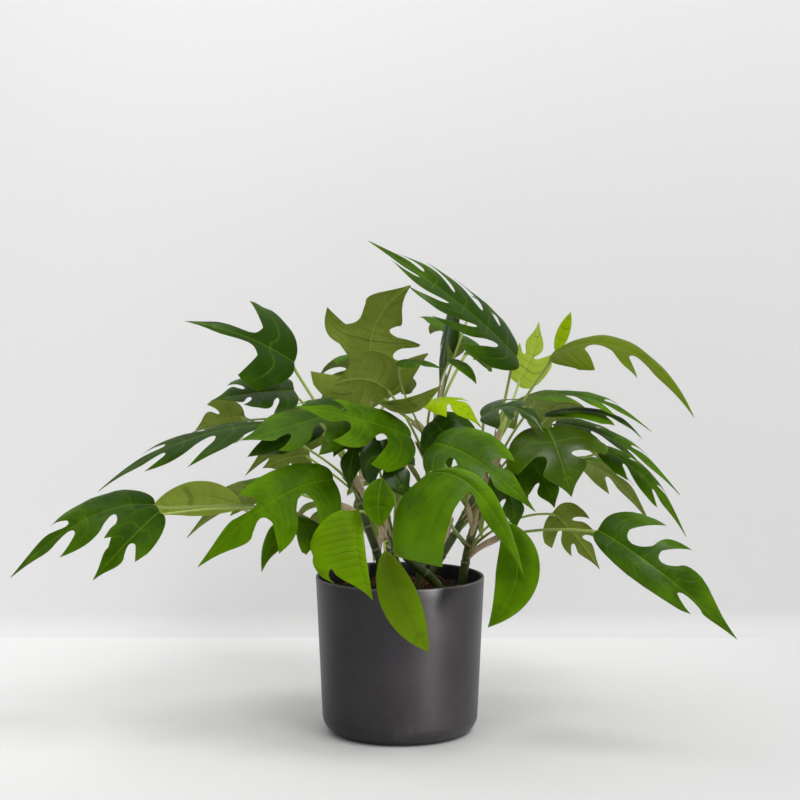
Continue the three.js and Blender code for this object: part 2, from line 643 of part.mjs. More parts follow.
    name: "leaf_middle_crescent", cane: "cane_centre", at: 0.6,
    base: [-30, 357, -58], middle: [5, 352, -81], tip: [45, 372, -86],
    width: 21, roll: 120, lobes: 1,
  },
  {
    name: "leaf_middle_olive", cane: "cane_centre", at: 0.75,
    base: [-10, 364, 18], middle: [-37, 378, 16], tip: [-72, 372, 13],
    width: 38, roll: 165, lobes: 2,
  },
  {
    name: "leaf_centre_behind", cane: "cane_centre", at: 0.65,
    base: [34, 334, -34], middle: [60, 304, -49], tip: [84, 258, -57],
    width: 31, roll: 15, lobes: 3,
  },
  {
    name: "leaf_centre_left", cane: "cane_left", at: 0.62,
    base: [-36, 326, -60], middle: [-50, 298, -75], tip: [-54, 258, -83],
    width: 24, roll: 10, lobes: 2,
  },
  {
    name: "leaf_front_glossy", cane: "cane_left", at: 0.5,
    base: [-21, 313, -81], middle: [-9, 283, -104], tip: [12, 247, -109],
    width: 32, roll: 15, lobes: 2,
  },
  {
    name: "leaf_far_right", cane: "cane_right", at: 0.42,
    base: [211, 217, -110], middle: [283, 168, -146], tip: [362, 98, -140],
    width: 46, roll: 15, lobes: 4, rightShare: 0.6, leftWhole: [3], rightWhole: [1, 2], deep: 0.16,
    gap: 0.085, closing: 0.75, blunt: 4, apex: 1, sweep: 0.2,
  },
  {
    name: "leaf_far_right_behind", cane: "cane_right", at: 0.46,
    base: [163, 236, 13], middle: [187, 211, 10], tip: [214, 174, 6],
    width: 30, roll: 155, lobes: 3,
  },
  {
    name: "leaf_back_a", cane: "cane_back_left", at: 0.8,
    base: [-40, 330, 150], middle: [-95, 332, 195], tip: [-165, 275, 214],
    width: 60, roll: 130, lobes: 3,
  },
  {
    name: "leaf_back_b", cane: "cane_back_left", at: 1.0,
    base: [0, 385, 150], middle: [-40, 390, 202], tip: [-92, 338, 240],
    width: 60, roll: 130, lobes: 3,
  },
  {
    name: "leaf_back_c", cane: "cane_back_right", at: 0.85,
    base: [112, 345, 162], middle: [160, 345, 202], tip: [220, 285, 221],
    width: 60, roll: 130, lobes: 3,
  },
  {
    name: "leaf_back_d", cane: "cane_back_left", at: 0.4,
    base: [-10, 265, 156], middle: [-20, 250, 214], tip: [-28, 180, 244],
    width: 48, roll: 170, lobes: 3,
  },
  {
    name: "leaf_back_e", cane: "cane_back_left", at: 0.65,
    base: [-110, 262, 114], middle: [-165, 258, 138], tip: [-228, 208, 146],
    width: 46, roll: 120, lobes: 3,
  },
  {
    name: "leaf_back_f", cane: "cane_back_right", at: 0.6,
    base: [165, 285, 124], middle: [215, 282, 146], tip: [268, 222, 153],
    width: 46, roll: 115, lobes: 3,
  },
  {
    name: "leaf_back_g", cane: "cane_centre", at: 0.97,
    base: [72, 405, 130], middle: [62, 425, 195], tip: [45, 385, 260],
    width: 52, roll: 160, lobes: 3,
  },
  {
    name: "leaf_back_h", cane: "cane_back_right", at: 0.5,
    base: [62, 285, 162], middle: [75, 272, 218], tip: [88, 205, 247],
    width: 44, roll: 175, lobes: 2,
  },
  {
    name: "leaf_back_i", cane: "cane_back_left", at: 0.5,
    base: [-62, 240, 136], middle: [-78, 235, 182], tip: [-90, 190, 205],
    width: 36, roll: 160, lobes: 2,
  },
];

const leaves = LEAVES.map((leaf, index) => ({ ...USUAL, ...leaf, number: index + 1 }));
const plant = new THREE.Group();

function addNode(name, geometry, material) {
  const mesh = new THREE.Mesh(geometry, material.clone());
  mesh.name = name;
  plant.add(mesh);
}

const holes = [];
for (const [name, points] of Object.entries(CANES)) {
  const curve = caneCurve(points);
  const steps = 2 * points.length + 2;
  holes.push(holeOf(curve, steps));
  let solid = solidOf(tubeAlong(curve, CANE_RADIUS, CANE_SIDES, steps));
  for (const leaf of leaves.filter((each) => each.cane === name)) {
    const petiole = tubeAlong(petioleCurve(leaf, curve), PETIOLE_RADIUS, PETIOLE_SIDES, PETIOLE_STEPS);
    solid = solid.add(solidOf(petiole));
  }
  addNode(name, geometryOf(solid), stemMaterial);
}
addNode("pot", makePot(), potMaterial);
addNode("soil", geometryOf(makeSoil(holes)), soilMaterial);
for (const leaf of leaves) addNode(leaf.name, makeLeaf(leaf), leafMaterial);

export default plant;
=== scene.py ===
import bpy
import numpy as np
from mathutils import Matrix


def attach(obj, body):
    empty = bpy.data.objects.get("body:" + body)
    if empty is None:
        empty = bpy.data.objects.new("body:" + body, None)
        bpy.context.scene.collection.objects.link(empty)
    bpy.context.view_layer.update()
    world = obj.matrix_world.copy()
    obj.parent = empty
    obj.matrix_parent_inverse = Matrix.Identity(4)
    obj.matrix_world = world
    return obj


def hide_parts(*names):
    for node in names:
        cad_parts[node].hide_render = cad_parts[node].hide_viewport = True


# A mini monstera in its charcoal cover pot. Tables are in millimetres, meshes in metres.
# x runs to the plant's right, y to its back and z up, from the middle of the pot's foot.

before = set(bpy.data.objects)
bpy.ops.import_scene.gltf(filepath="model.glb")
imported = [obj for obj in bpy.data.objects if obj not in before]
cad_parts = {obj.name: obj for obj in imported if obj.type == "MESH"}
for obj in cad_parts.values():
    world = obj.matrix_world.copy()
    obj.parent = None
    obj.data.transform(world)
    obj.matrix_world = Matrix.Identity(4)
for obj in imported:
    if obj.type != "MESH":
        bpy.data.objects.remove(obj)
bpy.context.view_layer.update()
print("frame:", len(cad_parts), "nodes")

scene = bpy.context.scene
mm = 0.001
up = np.array([0, 0, 1.0])


def makeMesh(name, points, quads=(), tris=(), sharp=(), **attributes):
    # One mesh object from arrays: points in mm, four- and three-cornered faces, edges to keep crisp
    # as pairs of point numbers, and per-point attributes of one or three numbers each.
    quads = np.asarray(quads, int).reshape(-1, 4)
    tris = np.asarray(tris, int).reshape(-1, 3)
    corners = np.concatenate([quads.ravel(), tris.ravel()])
    starts = np.concatenate([np.arange(len(quads)) * 4, len(quads) * 4 + np.arange(len(tris)) * 3])
    mesh = bpy.data.meshes.new(name)
    mesh.vertices.add(len(points))
    mesh.vertices.foreach_set("co", (np.asarray(points) * mm).astype(np.float32).ravel())
    mesh.loops.add(len(corners))
    mesh.loops.foreach_set("vertex_index", corners.astype(np.int32))
    mesh.polygons.add(len(starts))
    mesh.polygons.foreach_set("loop_start", starts.astype(np.int32))
    mesh.update(calc_edges=True)
    mesh.validate()
    mesh.polygons.foreach_set("use_smooth", np.ones(len(mesh.polygons), bool))
    for key, values in attributes.items():
        values = np.asarray(values, np.float32)
        if values.ndim == 1:
            mesh.attributes.new(key, "FLOAT", "POINT").data.foreach_set("value", values)
        else:
            mesh.attributes.new(key, "FLOAT_VECTOR", "POINT").data.foreach_set("vector", values.ravel())
    if len(sharp):
        pairs = np.empty(len(mesh.edges) * 2, np.int32)
        mesh.edges.foreach_get("vertices", pairs)
        pairs, wanted = (np.sort(np.reshape(ends, (-1, 2)).astype(np.int64)) for ends in (pairs, sharp))
        crisp = np.isin(pairs @ [len(points), 1], wanted @ [len(points), 1])
        mesh.attributes.new("sharp_edge", "BOOLEAN", "EDGE").data.foreach_set("value", crisp)
    piece = bpy.data.objects.new(name, mesh)
    scene.collection.objects.link(piece)
    return piece


def gridFaces(rows, columns, closed=False):
    # Quads of a rows x columns grid of points that runs row by row; closed joins the last column
    # to the first.
    i, j = np.meshgrid(np.arange(rows - 1), np.arange(columns if closed else columns - 1), indexing="ij")
    here, there = i * columns + j, i * columns + (j + 1) % columns
    return np.stack([here, there, there + columns, here + columns], -1).reshape(-1, 4)


def freeSides(faces, total):
    # The sides of faces that no neighbour runs the other way, as pairs of point numbers.
    sides = np.concatenate([np.stack([each, np.roll(each, -1, 1)], -1).reshape(-1, 2) for each in faces])
    return sides[~np.isin(sides[:, 0] * total + sides[:, 1], sides[:, 1] * total + sides[:, 0])]


def cappedRings(rings, ends):
    # Rings of points joined into a closed skin, with a fan of faces round a point at each end.
    rows, sides = rings.shape[:2]
    step = np.arange(sides)
    following = (step + 1) % sides
    pole, top = step * 0 + rows * sides, (rows - 1) * sides
    fans = np.concatenate([np.stack([pole, following, step], -1),
                           np.stack([pole + 1, top + step, top + following], -1)])
    return np.concatenate([rings.reshape(-1, 3), ends]), gridFaces(rows, sides, closed=True), fans


def fullTurn(sides):
    return np.arange(sides) / sides * 2 * np.pi


def latheSurface(radii, heights, sides):
    # A profile turned round the z axis: x = r cos a, y = r sin a. It starts and ends on the axis.
    angle = fullTurn(sides)
    x, y, z = np.outer(radii, np.cos(angle)), np.outer(radii, np.sin(angle)), np.outer(heights, angle * 0 + 1)
    return cappedRings(np.stack([x, y, z], -1)[1:-1], [[0, 0, heights[0]], [0, 0, heights[-1]]])


def crossFrame(path, hint):
    # Along a path: its direction, the direction across it nearest to the hint, and the third one.
    tangent = unit(np.gradient(path, axis=0))
    first = unit(hint - tangent * (tangent @ hint)[:, None])
    return tangent, first, np.cross(tangent, first)


def tubeSurface(path, radius, sides, hint, squash=1.0):
    # A closed tube: rings of a given radius across the path, from a first spoke near the hint
    # direction. squash flattens it across the hint.
    _, first, second = crossFrame(path, hint)
    angle = fullTurn(sides)[:, None]
    spokes = np.cos(angle) * first[:, None] + squash * np.sin(angle) * second[:, None]
    radius = np.broadcast_to(radius, len(path))[:, None, None]
    return cappedRings(path[:, None] + radius * spokes, path[[0, -1]])


def joined(parts):
    # Several (points, quads, tris) surfaces as one.
    points, quads, tris = zip(*parts)
    starts = np.cumsum([0, *[len(each) for each in points]])
    return (np.concatenate(points), np.concatenate([each + n for each, n in zip(quads, starts)]),
            np.concatenate([each + n for each, n in zip(tris, starts)]))


def unit(vectors):
    return vectors / np.maximum(np.linalg.norm(vectors, axis=-1, keepdims=True), 1e-9)


def smoothstep(low, high, x):
    t = np.clip((x - low) / (high - low), 0, 1)
    return t * t * (3 - 2 * t)


def spun(u, v, angle):
    # A flat place turned about the origin.
    return u * np.cos(angle) - v * np.sin(angle), u * np.sin(angle) + v * np.cos(angle)


def bezier(t, *points):
    # A quadratic or cubic curve by its three or four control points.
    while len(points) > 1:
        points = [first + t * (last - first) for first, last in zip(points, points[1:])]
    return points[0]


def hashed(n, k):
    # A repeatable number from -1 to 1 for two seeds, the same one that the solids use.
    wave = np.sin(n * 12.9898 + k * 78.233) * 43758.5453
    return 2 * (wave - np.floor(wave)) - 1


def hashedShare(n, k):
    return (hashed(n, k) + 1) / 2


class Wire:
    # A socket whose operators add Math nodes.
    def __init__(self, shader, socket):
        self.shader, self.socket = shader, socket

    def maths(self, operation, *values):
        return self.shader.node("ShaderNodeMath", {"operation": operation}, *values)

    def __add__(self, other):
        return self.maths("ADD", self, other)

    __radd__ = __add__

    def __sub__(self, other):
        return self.maths("SUBTRACT", self, other)

    def __rsub__(self, other):
        return self.maths("SUBTRACT", other, self)

    def __mul__(self, other):
        return self.maths("MULTIPLY", self, other)

    __rmul__ = __mul__

    def __abs__(self):
        return self.maths("ABSOLUTE", self)

    def fract(self):
        return self.maths("FRACT", self)

    def ramp(self, low, high, out0=0.0, out1=1.0):
        # Smoothly from out0 at low to out1 at high.
        settings = {"interpolation_type": "SMOOTHSTEP"}
        return self.shader.node("ShaderNodeMapRange", settings, self, low, high, out0, out1)


class Shader:
    # A material and the nodes put into it.
    def __init__(self, name):
        self.material = bpy.data.materials.new(name)
        self.material.use_nodes = True
        self.tree = self.material.node_tree
        self.tree.nodes.clear()

    def node(self, kind, settings, *values, out=None, **named):
        # Any node: its settings first, then values or wires for its sockets in order or by name.
        made = self.tree.nodes.new(kind)
        for key, value in settings.items():
            setattr(made, key, value)
        inOrder = zip([socket for socket in made.inputs if socket.enabled], values)
        byName = ((made.inputs[key.replace("_", " ")], value) for key, value in named.items())
        for socket, value in (*inOrder, *byName):
            if isinstance(value, Wire):
                self.tree.links.new(value.socket, socket)
            else:
                socket.default_value = value
        enabled = [socket for socket in made.outputs if socket.enabled]
        return Wire(self, made.outputs[out] if out else enabled[0])

    def place(self, scale=None):
        spot = self.node("ShaderNodeTexCoord", {}, out="Object")
        return self.node("ShaderNodeVectorMath", {"operation": "MULTIPLY"}, spot, scale) if scale else spot

    def noise(self, spot, size, detail=3.0, rough=0.5):
        # Cloudy noise with features of about size metres.
        return self.node("ShaderNodeTexNoise", {}, Vector=spot, Scale=1 / size, Detail=detail,
                         Roughness=rough)

    def attribute(self, name, out="Fac"):
        return self.node("ShaderNodeAttribute", {"attribute_name": name}, out=out)

    def parts(self, vector):
        split = self.node("ShaderNodeSeparateXYZ", {}, vector).socket.node
        return [Wire(self, socket) for socket in split.outputs]

    def mix(self, share, first, second):
        return self.node("ShaderNodeMix", {"data_type": "RGBA"}, share, colour(first), colour(second))

    def principled(self, tone, roughness, shine, bump=None, **more):
        # shine is the mirror share, and bump a height with its depth in metres and its strength.
        if bump:
            height, depth, strength = bump
            more["Normal"] = self.node("ShaderNodeBump", {}, Strength=strength, Distance=depth, Height=height)
        return self.node("ShaderNodeBsdfPrincipled", {}, Base_Color=colour(tone), Roughness=roughness,
                         Specular_IOR_Level=shine, **more)

    def done(self, surface):
        output = self.tree.nodes.new("ShaderNodeOutputMaterial")
        self.tree.links.new(surface.socket, output.inputs["Surface"])
        return self.material


def colour(value):
    # sRGB 0-255 to the linear colour that sockets take; a wire passes through.
    if isinstance(value, Wire):
        return value
    part = np.array(value) / 255
    linear = np.where(part <= 0.04045, part / 12.92, ((part + 0.055) / 1.055) ** 2.4)
    return (*linear.tolist(), 1.0)


sighting = {
    "distance": 2168, "height": 542,  # where the eye stands, mm
    "pitch": 4.9, "lens": 92.19,
}
room = {
    # painted light and shade: the wall's colour runs lighter on the left and darker on the right, and the
    # floor's lighter far and left and darker near and right
    "wallPaintedLightLeft": (244, 244, 245), "wallPaintedShadeRight": (228, 228, 229), "wallFade": 0.5,
    "floorPaintedLightFar": (252, 252, 252), "floorPaintedShadeNear": (213, 213, 214), "floorFade": 0.9,
    "wallPlace": 0.492, "sweep": 0.03, "span": 9.0, "below": 0.0006,  # metres
    "air": 0.4, "airTone": 0.94,
}
lamps = {  # place, aim and size in metres, watts, tint
    # a high and a lower soft light to the right of the camera, and one overhead
    "sun": ((0.9, -1.0, 2.1), (-0.1, 0, 0.1), (0.9, 0.9), 25, (1.0, 0.99, 0.97)),
    "front": ((0.5, -1.4, 1.3), (0, 0.2, 0.1), (0.8, 0.8), 6, (1, 1, 1)),
    "top": ((-0.5, -0.1, 1.9), (-0.1, 0.1, 0), (1.6, 0.9), 8, (1, 1, 1)),
    # a low strip that lights the pot alone and gives it its bright band
    "strip": ((0.85, -0.9, 0.13), (0, 0, 0.12), (0.14, 0.4), 20, (1.0, 0.98, 0.94)),
}


def makeCamera():
    camera = bpy.data.objects.new("camera", bpy.data.cameras.new("camera"))
    scene.collection.objects.link(camera)
    camera.location = (0, -sighting["distance"] * mm, sighting["height"] * mm)
    camera.rotation_euler = (np.radians(90 - sighting["pitch"]), 0, 0)
    camera.data.lens = sighting["lens"]
    camera.data.clip_end = 60
    scene.camera = camera


def makeRoom():
    # The floor runs up into the wall through a quarter round: y = y0 + r sin t, z = r - r cos t. The wall
    # shows from its front alone, so that views from behind look through it, onto a floor of its own.
    y0, r, span, below = room["wallPlace"], room["sweep"], room["span"], -room["below"]
    turn = np.linspace(0, np.pi / 2, 9)
    profiles = {
        "floor": [(-span, 0), (y0, 0)],
        "wall": [*zip(y0 + r * np.sin(turn), r - r * np.cos(turn)), (y0 + r, span)],
        "floor_behind": [(y0, below), (span, below)],
    }
    for name, profile in profiles.items():
        s = Shader(name + "_paint")
        x, y = s.parts(s.place())[:2]
        # painted light and shade: each colour is a ramp, lighter to the left and back, darker to the right
        # and front, standing in for how the light falls across wall and floor
        if name == "wall":
            paintedLightRamp = s.mix(x.ramp(-room["wallFade"], room["wallFade"]), room["wallPaintedLightLeft"], room["wallPaintedShadeRight"])
        else:
            fade = (x - y).ramp(-room["floorFade"], room["floorFade"])
            paintedLightRamp = s.mix(fade, room["floorPaintedLightFar"], room["floorPaintedShadeNear"])
        plain = s.principled(paintedLightRamp, 0.75, 0.25)
        if name == "wall":
            back = s.node("ShaderNodeNewGeometry", {}, out="Backfacing")
            plain = s.node("ShaderNodeMixShader", {}, back, plain, s.node("ShaderNodeBsdfTransparent", {}))
        points = np.array([(x, y, z) for y, z in profile for x in (-span, span)]) / mm
        piece = makeMesh(name, points, gridFaces(len(profile), 2))
        piece.data.materials.append(s.done(plain))


def makeLamp(name, place, aim, size, power, tint):
    lamp = bpy.data.objects.new(name, bpy.data.lights.new(name, "AREA"))
    scene.collection.objects.link(lamp)
    lamp.data.shape = "RECTANGLE"
    lamp.data.size, lamp.data.size_y = size
    lamp.data.energy = power
    lamp.data.color = tint
    lamp.location = place
    away = np.array(place) - np.array(aim)
    across = np.hypot(away[0], away[1])
    lamp.rotation_euler = (np.arctan2(across, away[2]), 0, np.arctan2(away[0], -away[1]))
    return lamp


def makeAir():
    world = bpy.data.worlds.new("air")
    scene.world = world
    world.use_nodes = True
    sky = world.node_tree.nodes["Background"].inputs
    sky["Color"].default_value = (*[room["airTone"]] * 3, 1)
    sky["Strength"].default_value = room["air"]
    scene.view_settings.view_transform = "Standard"


makeCamera()
makeRoom()
lights = {name: makeLamp(name, *values) for name, values in lamps.items()}
makeAir()
print("room done")


pot = {
    "height": 168, "rim": 90, "foot": 82.5, "edgeRound": 19, "wall": 3, "floor": 4, "lipRound": 1.1,
    "sides": 240, "dark": (38, 36, 39), "pale": (47, 45, 48), "grain": (70, 68, 71), "dust": (72, 69, 66),
    # the lip colour paints a highlight round the top of the rim, between the two heights after it
    "lip": (108, 107, 110), "lipHighlightFrom": 0.1655, "lipHighlightTo": 0.1675,  # metres up
}


def potSide(height, inset=0.0):
    return pot["foot"] + (pot["rim"] - pot["foot"]) * height / pot["height"] - inset


def potProfile():
    # Foot centre, flat foot, quarter round up to the leaning side, a lip of two small quarter rounds,
    # and down inside the same way.
    quarter, edge = np.linspace(0, np.pi / 2, 14), np.linspace(0, np.pi / 2, 6)
    top, floor, wall, rOut, lip = (pot[key] for key in ("height", "floor", "wall", "edgeRound", "lipRound"))
    rIn = rOut - wall
    side = np.linspace(rOut, top - lip, 16)[1:-1]
    inside = np.linspace(top - lip, floor + rIn, 12)[1:-1]
    radii = [[0, 30, 55], potSide(rOut) - rOut + rOut * np.sin(quarter), potSide(side),
             pot["rim"] - lip + lip * np.cos(edge), pot["rim"] - wall + lip - lip * np.sin(edge),
             potSide(inside, wall), potSide(floor + rIn, wall) - rIn + rIn * np.sin(quarter[::-1]), [0]]
    heights = [[0, 0, 0], rOut - rOut * np.cos(quarter), side, top - lip + lip * np.sin(edge),
               top - lip + lip * np.cos(edge), inside, floor + rIn - rIn * np.cos(quarter[::-1]), [floor]]
    return np.concatenate(radii), np.concatenate(heights)


def potMaterial():
    s = Shader("charcoal_satin")
    spot = s.place()
    grain = s.noise(spot, 0.0009, 3, 0.7)
    cloud = s.noise(spot, 0.05, 4, 0.55)
    height = s.parts(spot)[2]
    dust = s.noise(s.place((1, 1, 0.35)), 0.012, 5, 0.6).ramp(0.52, 0.8) * 0.35
    tone = s.mix(cloud.ramp(0.3, 0.7), pot["dark"], pot["pale"])
    tone = s.mix(grain.ramp(0.35, 0.75) * 0.28, tone, pot["grain"])
    tone = s.mix(dust * (1 - height.ramp(0.0, 0.10)), tone, pot["dust"])
    # painted highlight: a paler band round the top of the lip, where the rim catches the light
    tone = s.mix(height.ramp(pot["lipHighlightFrom"], pot["lipHighlightTo"]) * 0.45, tone, pot["lip"])
    return s.done(s.principled(tone, 0.33 + grain * 0.08 + cloud * 0.05, 0.3,
                               (grain + cloud * 0.4, 0.00012, 0.5), Metallic=0.3))


def makePot():
    piece = makeMesh("charcoal_pot", *latheSurface(*potProfile(), pot["sides"]))
    piece.data.materials.append(potMaterial())
    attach(piece, "root")
    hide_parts("pot")
    lit = bpy.data.collections.new("lit_by_strip")
    lit.objects.link(piece)
    lights["strip"].light_linking.receiver_collection = lit


makePot()
print("pot done")


soil = {
    "level": 151, "depth": 12, "bump": 1.6, "clods": 2.6, "crumbs": 0.35, "rings": 90, "sides": 260,
    "chips": 900, "fibres": 150,
    "dark": (24, 14, 10), "brown": (54, 34, 25), "rust": (92, 58, 36), "creviceShade": (20, 12, 9),
    "chipDark": (32, 19, 13), "chipPale": (92, 60, 38), "chipGrain": (126, 92, 64),
}
soil["edge"] = potSide(soil["level"], pot["wall"] + 0.4)


def soilHeight(x, y):
    # The broad bumps of the solid, with clods of a few millimetres on top: sums of crossed sines.
    broad = np.sin(x / 9 + 1) * np.cos(y / 11) + 0.5 * np.sin(x / 5 - y / 6)
    clods = np.sin(x * 0.61 + 2 * np.sin(y * 0.23)) * np.sin(y * 0.57 + 2 * np.sin(x * 0.27 + 1))
    crumbs = np.sin(x * 1.9 + y * 0.7) * np.sin(y * 2.1 - x * 0.4)
    return soil["level"] + soil["bump"] * broad + 0.3 * soil["clods"] * clods + soil["crumbs"] * crumbs


def soilMaterial():
    s = Shader("potting_mix")
    spot = s.place()
    fine = s.noise(spot, 0.0022, 8, 0.75)
    broad = s.noise(spot, 0.012, 4, 0.6)
    crumb = s.node("ShaderNodeTexVoronoi", {}, Vector=spot, Scale=1 / 0.0028)
    tone = s.mix(fine.ramp(0.3, 0.7), soil["dark"], soil["brown"])
    # painted shade: darker in the gaps between crumbs, where the bump sinks lowest
    tone = s.mix(crumb.ramp(0.2, 0.55) * 0.6, tone, soil["creviceShade"])
    tone = s.mix(broad.ramp(0.55, 0.75) * 0.4, tone, soil["rust"])
    return s.done(s.principled(tone, 0.85 + fine * 0.15, 0.25, (fine + (1 - crumb) * 0.6, 0.0016, 0.9)))


def chipMaterial():
    s = Shader("bark_and_fibre")
    grain = s.noise(s.place((1, 1, 3)), 0.0015, 5, 0.7)
    tone = s.mix(s.attribute("tone"), soil["chipDark"], soil["chipPale"])
    tone = s.mix(grain.ramp(0.45, 0.75) * 0.4, tone, soil["chipGrain"])
    return s.done(s.principled(tone, 0.8 + grain * 0.15, 0.3, (grain, 0.0006, 0.7)))


def soilSurface():
    # The top is a disc in polar rings, the last ring ends down along the pot's wall, and a flat
    # underside closes it.
    radius = np.linspace(0.02, 1, soil["rings"])[:, None] * soil["edge"]
    x, y = spun(radius, 0, fullTurn(soil["sides"]))
    under = soil["level"] - soil["depth"]
    rings = np.stack([x, y, soilHeight(x, y)], -1)
    skirt = np.stack([x[-1:], y[-1:], np.full((1, soil["sides"]), under)], -1)
    ends = [[0, 0, soilHeight(0, 0)], [0, 0, under]]
    points, quads, fans = cappedRings(np.concatenate([rings, skirt]), ends)
    return points, quads[:, ::-1], fans[:, ::-1]


def chipSurface(k):
    # A squashed lump of three rings of eight points, spun, tilted and strewn by its own number.
    x, y = spun(np.sqrt(hashedShare(k, 1)) * (soil["edge"] - 4), 0, hashed(k, 2) * np.pi)
    size = 1.1 + 1.6 * hashedShare(k, 3) ** 2
    flat, length = 0.25 + 0.3 * hashedShare(k, 4), 1 + 0.9 * hashedShare(k, 5)
    wobble = 1 + 0.22 * hashed(k, 20 + np.arange(24)).reshape(3, 8)
    u, v = spun(size * np.array([[0.75], [1.0], [0.7]]) * wobble, 0, fullTurn(8))
    w = size * flat * np.array([[-0.6], [0.0], [0.6]])
    u, w = spun(u * length, w, -0.5 * hashed(k, 7))
    u, v = spun(u, v, hashed(k, 6) * np.pi)
    rings = np.stack([x + u, y + v, w + soilHeight(x, y) + 0.3], -1)
    return cappedRings(rings, [rings[0].mean(0), rings[-1].mean(0)])


def fibreSurface(k):
    # A thin four-sided thread that curls over the soil.
    along = np.linspace(-0.5, 0.5, 9)
    x, y = spun(np.sqrt(hashedShare(k, 31)) * (soil["edge"] - 12), 0, hashed(k, 32) * np.pi)
    bow = 5 * hashed(k, 35) * np.cos(along * 3) + 1.2 * np.sin(along * 9 + k)
    u, v = spun(along * (9 + 8 * hashed(k, 34)), bow, hashed(k, 33) * np.pi)
    lift = 0.5 + (1.6 + 1.6 * hashed(k, 36)) * np.cos(along * np.pi)
    path = np.stack([x + u, y + v, soilHeight(x + u, y + v) + lift], -1)
    return tubeSurface(path, 0.22 * np.sqrt(1.05 - (2 * along) ** 2), 4, up)


def makeSoil():
    piece = makeMesh("potting_mix", *soilSurface())
    piece.data.materials.append(soilMaterial())
    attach(piece, "root")
    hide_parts("soil")

    bark = chipMaterial()
    strewn = {  # each kind's surface, and the tone of each one
        "bark_chips": (chipSurface, hashedShare(np.arange(soil["chips"]), 9) ** 1.6),
        "soil_fibres": (fibreSurface, 0.35 + 0.65 * hashedShare(np.arange(soil["fibres"]), 37)),
    }
    for name, (surface, tone) in strewn.items():
        parts = [surface(k) for k in range(len(tone))]
        piece = makeMesh(name, *joined(parts), tone=np.repeat(tone, len(parts[0][0])))
        piece.data.materials.append(bark)
        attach(piece, "root")


makeSoil()
print("soil done")


# Points of the plant are [across, height, depth], as sighted from the eye: across and height are where
# the line of sight passes the pot's axis plane, and depth is the point's own y.

def sighted(points):
    across, height, depth = np.array(points, float).T
    scale = 1 + depth / sighting["distance"]
    return np.stack([across * scale, depth, sighting["height"] + (height - sighting["height"]) * scale], -1)


canes = {  # each climbs out of the soil through these points
    "cane_left": [(43, 152, -20), (13, 182, -28), (-5, 201, -22), (-28, 232, -12), (-45, 262, -4)],
    "cane_right": [(66, 152, -10), (75, 206, -12), (88, 245, -8), (98, 275, 0)],
    "cane_centre": [(21, 157, 20), (27, 228, 28), (32, 285, 30), (38, 330, 28)],
    "cane_back_left": [(-16, 163, 45), (-37, 228, 60), (-50, 275, 72)],
    "cane_back_right": [(32, 163, 55), (60, 215, 75), (80, 255, 85)],
    "cane_front": [(0, 157, -50), (-5, 184, -62), (-16, 206, -68)],
    "cane_low_left": [(-37, 154, -20), (-53, 179, -30), (-69, 201, -35), (-83, 217, -38)],
}
blade = {  # what each leaf has unless its own row says otherwise, with separate values for its halves
    "fold": 12, "hang": 40,  # degrees that a half rises from the midrib and falls again towards its edge
    "wave": 0.05, "ripple": 0.016, "curl": 0.1,  # shares of the half-width
    "deep": 0.24, "gap": 0.045, "closing": 0.4,  # where the cuts end, how wide they are, and how they close
    "blunt": 3.6, "apex": 0.94, "sweep": 0.34, "steady": 0,  # the lobes' form, lean and straightness
    "leftShare": 1, "rightShare": 1, "left": [], "right": [], "leftWhole": [], "rightWhole": [],
    "rise": 0.7, "hook": 20,  # how steeply the petiole leaves its cane, and its bend below the blade
    "tone": (0.45,),  # how fresh (0 dark, 1 bright), lime, glossy and olive, and how reddish at its edge
    "slot": "leaf_green",
}
skin = {
    "thickness": 0.5, "thin": 0.16,  # mm in the middle and at the margin
    "rib": 1.0, "groove": 0.3, "ribWidth": 1.25, "rowsIn": 9, "rowsOut": 16,
    "columns": {1: 30, 2: 20, 3: 14}, "manyColumns": 11,  # for each lobe, by the number of lobes
}
outline = {
    "notch": -0.2, "shoulder": 0.42, "flare": 1.05, "belly": 1.6,  # handles of the leaf's whole margin
    "narrowed": 0.62, "tipFrom": 0.66, "tipTo": 0.97,
    "veinFrom": 0.2, "veinPower": 0.6, "veinBend": 0.12, "veinOut": 0.56,
    "cutsTo": 0.84, "peak": 0.4, "fullness": 1.1, "breadth": 0.8, "lean": 0.25,  # of a half without cuts
}
leaves = {}


def addLeaf(name, cane, at, base, middle, tip, width, roll, lobes, **own):
    # A leaf's cane and how far along it grows, the base, middle and tip of its midrib, its half-width,
    # its roll (0 shows the upper face, 90 turns it up, 180 shows the underside), its lobes on each side.
    leaves["leaf_" + name] = dict(blade, number=len(leaves) + 1, cane="cane_" + cane, at=at, width=width,
                                  roll=roll, lobes=lobes, midrib=(base, middle, tip), **own)


addLeaf("top", "right", 1.0, (124, 402, 0), (58, 462, -32), (-34, 525, -20), 50, 55, 5, leftShare=0.9,
        deep=0.26, gap=0.035, closing=0.6, sweep=0.5, tone=(0.28, 0, 0.3))
addLeaf("upper_back", "centre", 0.9, (-16, 356, 58), (-30, 424, 65), (12, 478, 44), 70, 180, 3, deep=0.26,
        gap=0.075, closing=0.1, sweep=0.15, tone=(0.4,), slot="leaf_olive")
addLeaf("upper_left", "left", 0.98, (-112, 396, 18), (-165, 424, -10), (-228, 440, -32), 54, 40, 2, hang=20,
        left=[1, 0.45], right=[1, 0.45], deep=0.12, gap=0.15, closing=-0.3, blunt=3.2, sweep=0.5,
        tone=(0.1, 0, 0.3))
addLeaf("left_high", "back_left", 0.95, (-112, 366, 34), (-152, 364, 18), (-199, 356, -6), 42, 54, 3,
        hang=30, deep=0.3, gap=0.05, closing=0.85, blunt=6, apex=0.95, tone=(0.1, 0, 0.5))
